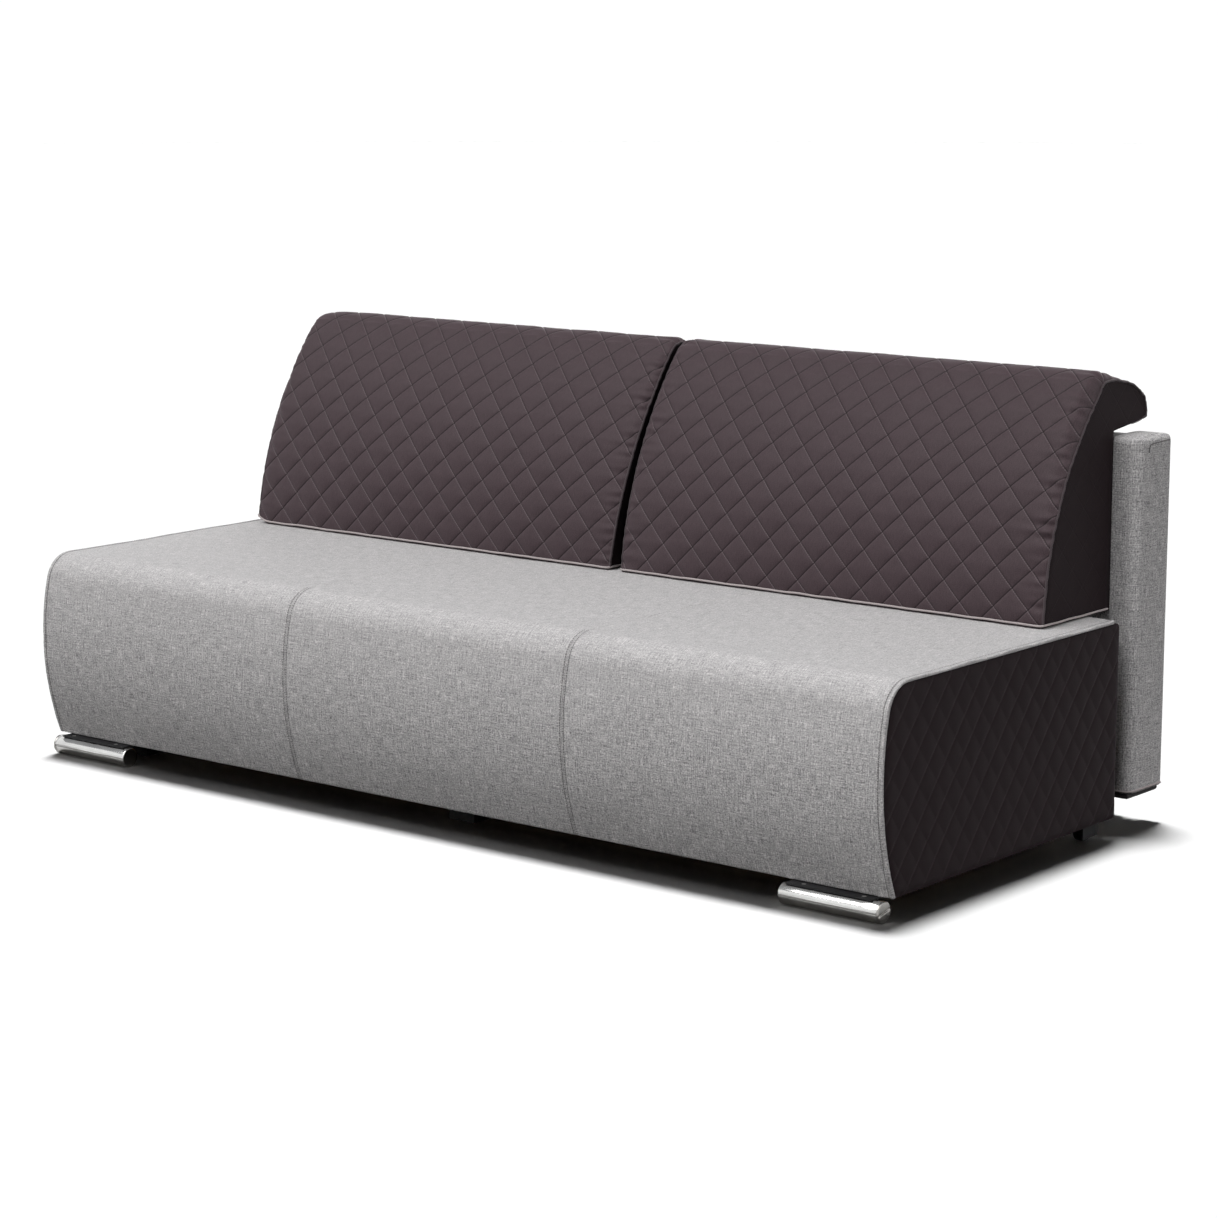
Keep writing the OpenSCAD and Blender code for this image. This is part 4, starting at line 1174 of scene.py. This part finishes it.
def linen(name, seam_x=None, contrast=1.0):
    """Light grey melange: long weft slubs and shorter warp slubs over a fine weave.

    With seam_x it has painted shade along the seat's seams and its dark stitch rows, and is calmer on the
    seat's top.
    """
    n = Nodes(name)
    uv = n.cloth()
    across, along, _ = n.axes(uv)
    tone = 0.50
    for scale, gain in SLUBS:
        thread = n.noise(uv, scale, 1.0)
        part = n.sub(n.band(thread, 0.54, 0.74), n.band(thread, 0.46, 0.26))
        tone = n.add(tone, n.mul(part, gain * contrast))
    for scale, detail, rough, gain in ((420, 1.0, 0.5, 0.25), (6, 2.0, 0.6, 0.05)):
        cloud = n.noise(uv, scale, detail, rough)
        tone = n.add(tone, n.mul(n.sub(cloud, 0.5), gain))
    weave = n.mul(n.wave(across, WEAVE_PITCH), n.wave(along, WEAVE_PITCH))
    tone = n.add(tone, n.mul(weave, 0.03))
    if seam_x is not None:
        calm = n.band(along, 0.18, 0.36, 1.0, 0.58)
        tone = n.add(0.5, n.mul(n.sub(tone, 0.5), calm))
    colour = n.ramp(tone, (0.15, LINEN_DARK), (0.50, LINEN_TONE), (0.85, LINEN_LIGHT))
    if seam_x is not None:
        colour = stitch_rows(n, colour, across, along, seam_x)
    height = n.add(n.mul(weave, 0.25), tone)
    return n.finish(colour, 0.92, height, 0.0004, 0.5, Specular_IOR_Level=0.2,
                    Sheen_Weight=0.04, Sheen_Roughness=0.6)


def stitch_rows(n, colour, across, along, seam_x):
    """Darkens the seat's seams with painted shade in their grooves, and their stitch rows with dark thread.
    """
    x = n.math("ABSOLUTE", across)
    front = n.math("LESS_THAN", along, STITCH_END)
    # The seam's own row is painted shade in its groove, the other rows are dark thread
    rows = [(seam_x, 0.0010, 0.08), (COVER_HALF - OUTER_STITCH_IN, 0.0017, 0.70)]
    rows += [(seam_x + way * STITCH_IN, 0.0009, n.mul(front, 0.62)) for way in (-1, 1)]
    for place, wide, gain in rows:
        colour = n.mix(n.mul(n.line(x, place, wide), gain), colour, THREAD_TONE)
    return colour


def plum(name, base, light, lines, sheen=0.16, gloss=0.22):
    """Dark quilted microfibre. Its flat coordinates are measured from a crossing of the quilting.

    Each stitch line has painted shade on its upper side and a dashed painted highlight on its lower side.
    light is the tone of that painted highlight. lines gives the strengths of the painted shade and the
    painted highlight, for the lines that fall to the right and for those that rise.
    """
    n = Nodes(name)
    uv = n.cloth()
    x, s, _ = n.axes(uv)
    nap = n.noise(uv, 700, 2.0, 0.6)
    blotch = n.noise(uv, 18, 3.0, 0.6)
    streak = n.noise(uv, (420, 90, 1), 2.0, 0.6)
    tone = n.total((nap, 0.75), (blotch, 0.12), (streak, 0.30))
    colour = n.ramp(tone, (0.38, shade(base, 0.62)), (0.80, shade(base, 1.42)))
    height = n.mul(nap, 0.4)
    p = n.math("DIVIDE", n.add(x, s), 2 * DIAMOND)
    q = n.math("DIVIDE", n.sub(x, s), 2 * DIAMOND)
    for line, along, up, (dark_part, light_part) in ((p, q, 1, lines[0]), (q, p, -1, lines[1])):
        above = n.mul(n.sub(n.math("FRACT", n.add(line, 0.5)), 0.5), LINE_GAP * up)
        # Painted shade on each line's upper side, and a dashed painted highlight on its lower side
        painted_shade = n.line(above, 0.0008, 0.0019)
        dash = n.math("LESS_THAN", n.math("FRACT", n.mul(along, 11.0)), 0.75)
        painted_highlight = n.mul(n.line(above, -0.0011, 0.0012), dash)
        colour = n.mix(n.mul(painted_shade, dark_part), colour, shade(base, 0.12))
        colour = n.mix(n.mul(painted_highlight, light_part), colour, light)
        crease = n.mul(n.line(above, 0.0, 0.0016), 1.6 * min(1, dark_part + light_part))
        height = n.sub(height, crease)
    return n.finish(colour, 0.66, height, 0.0006, 0.6, Specular_IOR_Level=gloss,
                    Sheen_Weight=sheen, Sheen_Roughness=0.45, Sheen_Tint=PLUM_SHEEN)


def twisted(name, base, pitch=0.0022):
    """Cord cloth with a fine diagonal twist."""
    n = Nodes(name)
    uv = n.cloth()
    u, v, _ = n.axes(uv)
    twist = n.wave(n.add(u, n.mul(v, 0.6)), pitch)
    tone = n.add(n.mul(twist, 0.12), n.noise(uv, 700, 2.0, 0.6))
    colour = n.ramp(tone, (0.25, shade(base, 0.66)), (0.75, shade(base, 1.25)))
    return n.finish(colour, 0.8, tone, 0.0004, 0.5, Specular_IOR_Level=0.3, Sheen_Weight=0.15)


def metal(name, base, rough, wear=0.0, below=None):
    """Metal with faint drawn streaks, smudges and darker worn spots. below is the tone of a painted darker
    reflection on its underside, which also gets a dark painted horizon line where it faces sideways.
    """
    n = Nodes(name)
    place = n.place()
    streak = n.noise(place, (6, 260, 260), 3.0, 0.6)
    smudge = n.noise(place, 18, 3.0, 0.6)
    tone = n.total((streak, 0.5), (smudge, 0.5))
    colour = n.ramp(tone, (0.30, shade(base, 0.82 - wear)), (0.70, shade(base, 1.06)))
    # Painted reflection: the underside is darkened towards below, and a dark painted horizon line runs round
    # the middle
    if below is not None:
        facing = n.axes(n.make("NewGeometry", {}).outputs["Normal"])[2]
        facing = n.add(facing, n.mul(n.sub(streak, 0.5), 0.5))
        colour = n.mix(n.band(facing, 0.40, -0.35), colour, below)
        away = n.math("ABSOLUTE", n.sub(facing, 0.02))
        colour = n.mix(n.band(away, 0.05, 0.12, 0.75, 0.0), colour, PAINTED_HORIZON_TONE)
    roughness = n.band(tone, 0.3, 0.7, rough, rough + 0.10)
    return n.finish(colour, roughness, streak, 0.00003, 0.25, Metallic=1.0)


def coated(name, base, grain, marks, worn, rough, bump, gloss):
    """Black powder coat or nylon: a fine grain, and dust or scuffs that are lighter and rougher.

    marks are the scale and roughness of the scuffs' noise. worn says where they begin and how
    much lighter they are.
    """
    n = Nodes(name)
    place = n.place()
    scuff = n.noise(place, marks[0], 4.0, marks[1])
    colour = n.ramp(scuff, (worn[0], base), (0.75, shade(base, *worn[1:])))
    return n.finish(colour, n.band(scuff, 0.3, 0.7, *rough), n.noise(place, grain), *bump,
                    Specular_IOR_Level=gloss)


def pine():
    """Sawn pine with growth rings stretched along X."""
    n = Nodes("pine")
    place = n.place()
    bend = n.noise(place, (2.0, 9, 9))
    _, y, z = n.axes(place)
    rings = n.total((y, 160.0), (z, 70.0), (bend, 14.0))
    ring = n.add(n.mul(n.math("SINE", rings), 0.25), 0.5)
    pore = n.noise(place, (30, 900, 900), 2.0, 0.6)
    tone = n.total((ring, 0.6), (pore, 0.4))
    colour = n.ramp(tone, (0.25, (0.46, 0.27, 0.12)), (0.55, (0.66, 0.45, 0.24)),
                    (0.80, (0.78, 0.60, 0.38)))
    return n.finish(colour, 0.6, pore, 0.0003, 0.4)


def chipboard():
    """Laminated chipboard: pressed flakes in two tones."""
    n = Nodes("chipboard")
    place = n.place()
    cells = n.make("TexVoronoi", {"Vector": n.scaled(place, (160, 160, 260)), "Scale": 1.0})
    flake = n.make("SeparateColor", {0: cells.outputs["Color"]}).outputs[0]
    tone = n.total((flake, 0.6), (n.noise(place, 420, 3.0, 0.6), 0.4))
    colour = n.ramp(tone, (0.15, (0.30, 0.19, 0.10)), (0.5, (0.52, 0.36, 0.20)),
                    (0.85, (0.68, 0.52, 0.33)))
    return n.finish(colour, 0.75, tone, 0.0004, 0.4)


def fibrous(name, base, scale=500, sheen=0.2):
    """Matted fibres, for felt and foam."""
    n = Nodes(name)
    place = n.place()
    fibre = n.noise(place, (scale, scale * 0.35, scale), 4.0, 0.75)
    tone = n.total((fibre, 0.7), (n.noise(place, 12), 0.3))
    colour = n.ramp(tone, (0.3, shade(base, 0.6)), (0.7, shade(base, 1.3)))
    return n.finish(colour, 0.95, fibre, 0.0006, 0.6, Specular_IOR_Level=0.15, Sheen_Weight=sheen)


def webbing():
    """Coarse woven strap, with a checked weave."""
    n = Nodes("webbing")
    place = n.place()
    x, y, _ = n.axes(place)
    check = n.mul(n.wave(x, STRAP_PITCH), n.wave(y, STRAP_PITCH))
    tone = n.add(n.mul(check, 0.2), n.noise(place, 600, 2.0, 0.6))
    colour = n.ramp(tone, (0.25, (0.20, 0.15, 0.10)), (0.75, (0.50, 0.42, 0.30)))
    return n.finish(colour, 0.85, tone, 0.0006, 0.6)


LINEN = linen("linen")
LINEN_SEAT = linen("linen_seat", SEAM_X, 0.98)
# Each plum's second tone and its line strengths set the painted shade and painted highlight along its stitch
# lines
PLUM = plum("plum_front", (0.0455, 0.0295, 0.0345), (0.118, 0.092, 0.100),
            ((0.70, 0.90), (0.70, 0.25)))
# The end and panel plums are darker copies of the front's plum with less sheen: painted shade on the ends
PLUM_END_SHADED = plum("plum_end_shaded", (0.0140, 0.0090, 0.0104), (0.034, 0.026, 0.029),
                ((0.15, 0.25), (0.25, 0.35)), sheen=0.02, gloss=0.06)
PLUM_PANEL_SHADED = plum("plum_panel_shaded", (0.0128, 0.0080, 0.0093), (0.052, 0.039, 0.043),
                  ((0.1, 0.0), (0.4, 0.85)), sheen=0.02, gloss=0.06)
PLUM_CORD = twisted("plum_cord", (0.050, 0.036, 0.041))
THREAD = twisted("seat_thread", THREAD_TONE, 0.0009)
PIPING = twisted("light_piping", (0.36, 0.32, 0.32))
# The chrome's underside gets a painted darker reflection and a painted horizon line
CHROME = metal("chrome", (0.76, 0.76, 0.75), 0.09, below=(0.36, 0.35, 0.335))
LEG_PLUG = metal("leg_plug", (0.34, 0.33, 0.315), 0.16)
SLOTS = {
    "leg_chrome": CHROME,
    "black_steel": coated("black_steel", BLACK, 700, (20, 0.6), (0.35, 1.6, 0.01), (0.45, 0.63),
                          (0.0002, 0.35), 0.15),
    "bright_steel": metal("bright_steel", (0.62, 0.61, 0.59), 0.30, wear=0.1),
    "pine": pine(),
    "chipboard": chipboard(),
    "felt": fibrous("felt", (0.045, 0.042, 0.042)),
    "webbing": webbing(),
    "foam": fibrous("foam", (0.70, 0.68, 0.60), 300, sheen=0.0),
    "nylon": coated("nylon", BLACK, 900, (60, 0.7), (0.4, 1.7, 0.02), (0.42, 0.6), (0.00015, 0.4), 0.2),
    "linen_weave": LINEN,
    "quilted_plum": PLUM,
    "piping": PIPING,
}
# Starts of node names. Where two rows fit a name, the later one counts
SLOT_NODES = {
    "chipboard": ("box_", "front_board", "end_board_"),
    "pine": ("box_floor", "floor_cleats", "corner_blocks", "seat_rails", "seat_slats",
             "front_batten", "back_rails", "back_studs"),
    "nylon": ("base_feet", "pivot_bushes", "castor_wheel_"),
    "felt": ("felt_strips", "seat_lining", "back_hem"),
    "webbing": ("seat_webbing",),
    "bright_steel": ("guide_channel_", "leg_bolts", "runner_", "hinge_channel_", "hinge_pins"),
    "black_steel": ("pivot_plate_", "leg_plates", "castor_bracket_", "swing_arm_", "torsion_tube"),
    "foam": ("seat_foam", "front_foam", "back_pad_", "cushion_core_"),
    "linen_weave": ("seat_cover_", "back_cover"),
    "quilted_plum": ("end_cover_", "cushion_left", "cushion_right"),
    "piping": ("back_piping", "cushion_piping_"),
    "leg_chrome": ("front_leg_",),
}


def dress_nodes():
    """Gives every carried-over CAD node its procedural material."""
    for name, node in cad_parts.items():
        fitting = [slot for slot, starts in SLOT_NODES.items() if name.startswith(starts)]
        node.data.materials.clear()
        node.data.materials.append(SLOTS[fitting[-1]])


# Studio

def add_stage(name, points, faces, material):
    """A piece of the studio, which isn't part of the object."""
    mesh = new_mesh(name, points, faces)
    mesh.materials.append(material)
    thing = add_object(name, mesh)
    return thing


def make_studio():
    """Pale floor and a white wall far behind it."""
    n = Nodes("studio_floor")
    cloud = n.noise(n.place(), 0.8)
    colour = n.ramp(cloud, (0.3, (0.89, 0.89, 0.89)), (0.7, (0.91, 0.91, 0.91)))
    paint = n.finish(colour, 0.8, Specular_IOR_Level=0.1)
    corners = [(x * FLOOR_HALF, y * FLOOR_HALF, 0) for x, y in ((-1, -1), (1, -1), (1, 1), (-1, 1))]
    floor = add_stage("studio_floor", corners, [(0, 1, 2, 3)], paint)
    floor.visible_diffuse = False
    n = Nodes("studio_wall")
    glow = n.output(n.make("Emission", {"Color": (1, 1, 1, 1), "Strength": WALL_GLOW}))
    turns = [2 * math.pi * k / WALL_SIDES for k in range(WALL_SIDES)]
    points = [(WALL_RADIUS * math.cos(a), WALL_RADIUS * math.sin(a), z) for z in WALL_HEIGHTS for a in turns]
    nexts = [(k, (k + 1) % WALL_SIDES) for k in range(WALL_SIDES)]
    faces = [(a, b, WALL_SIDES + b, WALL_SIDES + a) for a, b in nexts]
    wall = add_stage("studio_wall", points, faces, glow)
    for ray in ("diffuse", "transmission", "shadow"):
        setattr(wall, "visible_" + ray, False)
    return floor


def toward(azimuth, elevation):
    """Direction to a light. Azimuth 0 is straight in front, and 90 at the sofa's right end."""
    a, e = math.radians(azimuth), math.radians(elevation)
    return math.cos(e) * math.sin(a), -math.cos(e) * math.cos(a), math.sin(e)


def make_sun(floor, name, direction, share, angle, tint, state):
    """A soft distant light that lights the floor alone (INCLUDE) or all else (EXCLUDE).

    share is what a surface that faces it sends back at albedo 1.
    """
    sun = bpy.data.lights.new(name, "SUN")
    sun.energy = math.pi * share
    sun.angle = math.radians(angle)
    sun.color = tint
    lamp = add_object(name, sun)
    lamp.rotation_euler = Vector(toward(*direction)).to_track_quat("Z", "Y").to_euler()
    group = bpy.data.collections.new(name + "_receivers")
    group.objects.link(floor)
    lamp.light_linking.receiver_collection = group
    group.collection_objects[0].light_linking.link_state = state


def make_light(floor):
    """A soft dome, key, side and rear lights that spare the floor, and the floor's own light."""
    world = bpy.data.worlds.new("studio")
    world.use_nodes = True
    tree = world.node_tree
    place = tree.nodes.new("ShaderNodeTexCoord")
    split = tree.nodes.new("ShaderNodeSeparateXYZ")
    ramp = tree.nodes.new("ShaderNodeMapRange")
    for index, value in enumerate((*WORLD_RISE, 0.0, WORLD_HIGH), 1):
        ramp.inputs[index].default_value = value
    tree.links.new(place.outputs["Generated"], split.inputs[0])
    tree.links.new(split.outputs["Z"], ramp.inputs[0])
    tree.links.new(ramp.outputs[0], tree.nodes["Background"].inputs["Strength"])
    tree.nodes["Background"].inputs["Color"].default_value = (1, 1, 1, 1)
    bpy.context.scene.world = world
    for light in LIGHTS:
        make_sun(floor, *light)
    bpy.context.scene.view_settings.view_transform = "Standard"


def make_camera():
    """Puts the fitted camera in the scene."""
    data = bpy.data.cameras.new("camera")
    data.sensor_width = CAMERA_SENSOR
    data.lens = CAMERA_LENS
    camera = add_object("camera", data)
    camera.location = CAMERA_PLACE
    camera.rotation_euler = [math.radians(a) for a in CAMERA_TURN]
    bpy.context.scene.camera = camera


make_camera()
dress_nodes()
for side_name, side_sign in SIDES:
    make_cushion(side_name, side_sign)
    make_end_cover(side_name, side_sign)
    make_leg(side_name, side_sign)
make_seat_cover("seat_linen_left", -COVER_HALF, -SEAM_X, ["seat_cover_left"])
make_seat_cover("seat_linen_middle", -SEAM_X, SEAM_X, ["seat_cover_middle", "seat_foam", "front_foam"])
make_seat_cover("seat_linen_right", SEAM_X, COVER_HALF, ["seat_cover_right"])
make_back_cover()
make_back_piping()
make_strips()
make_light(make_studio())
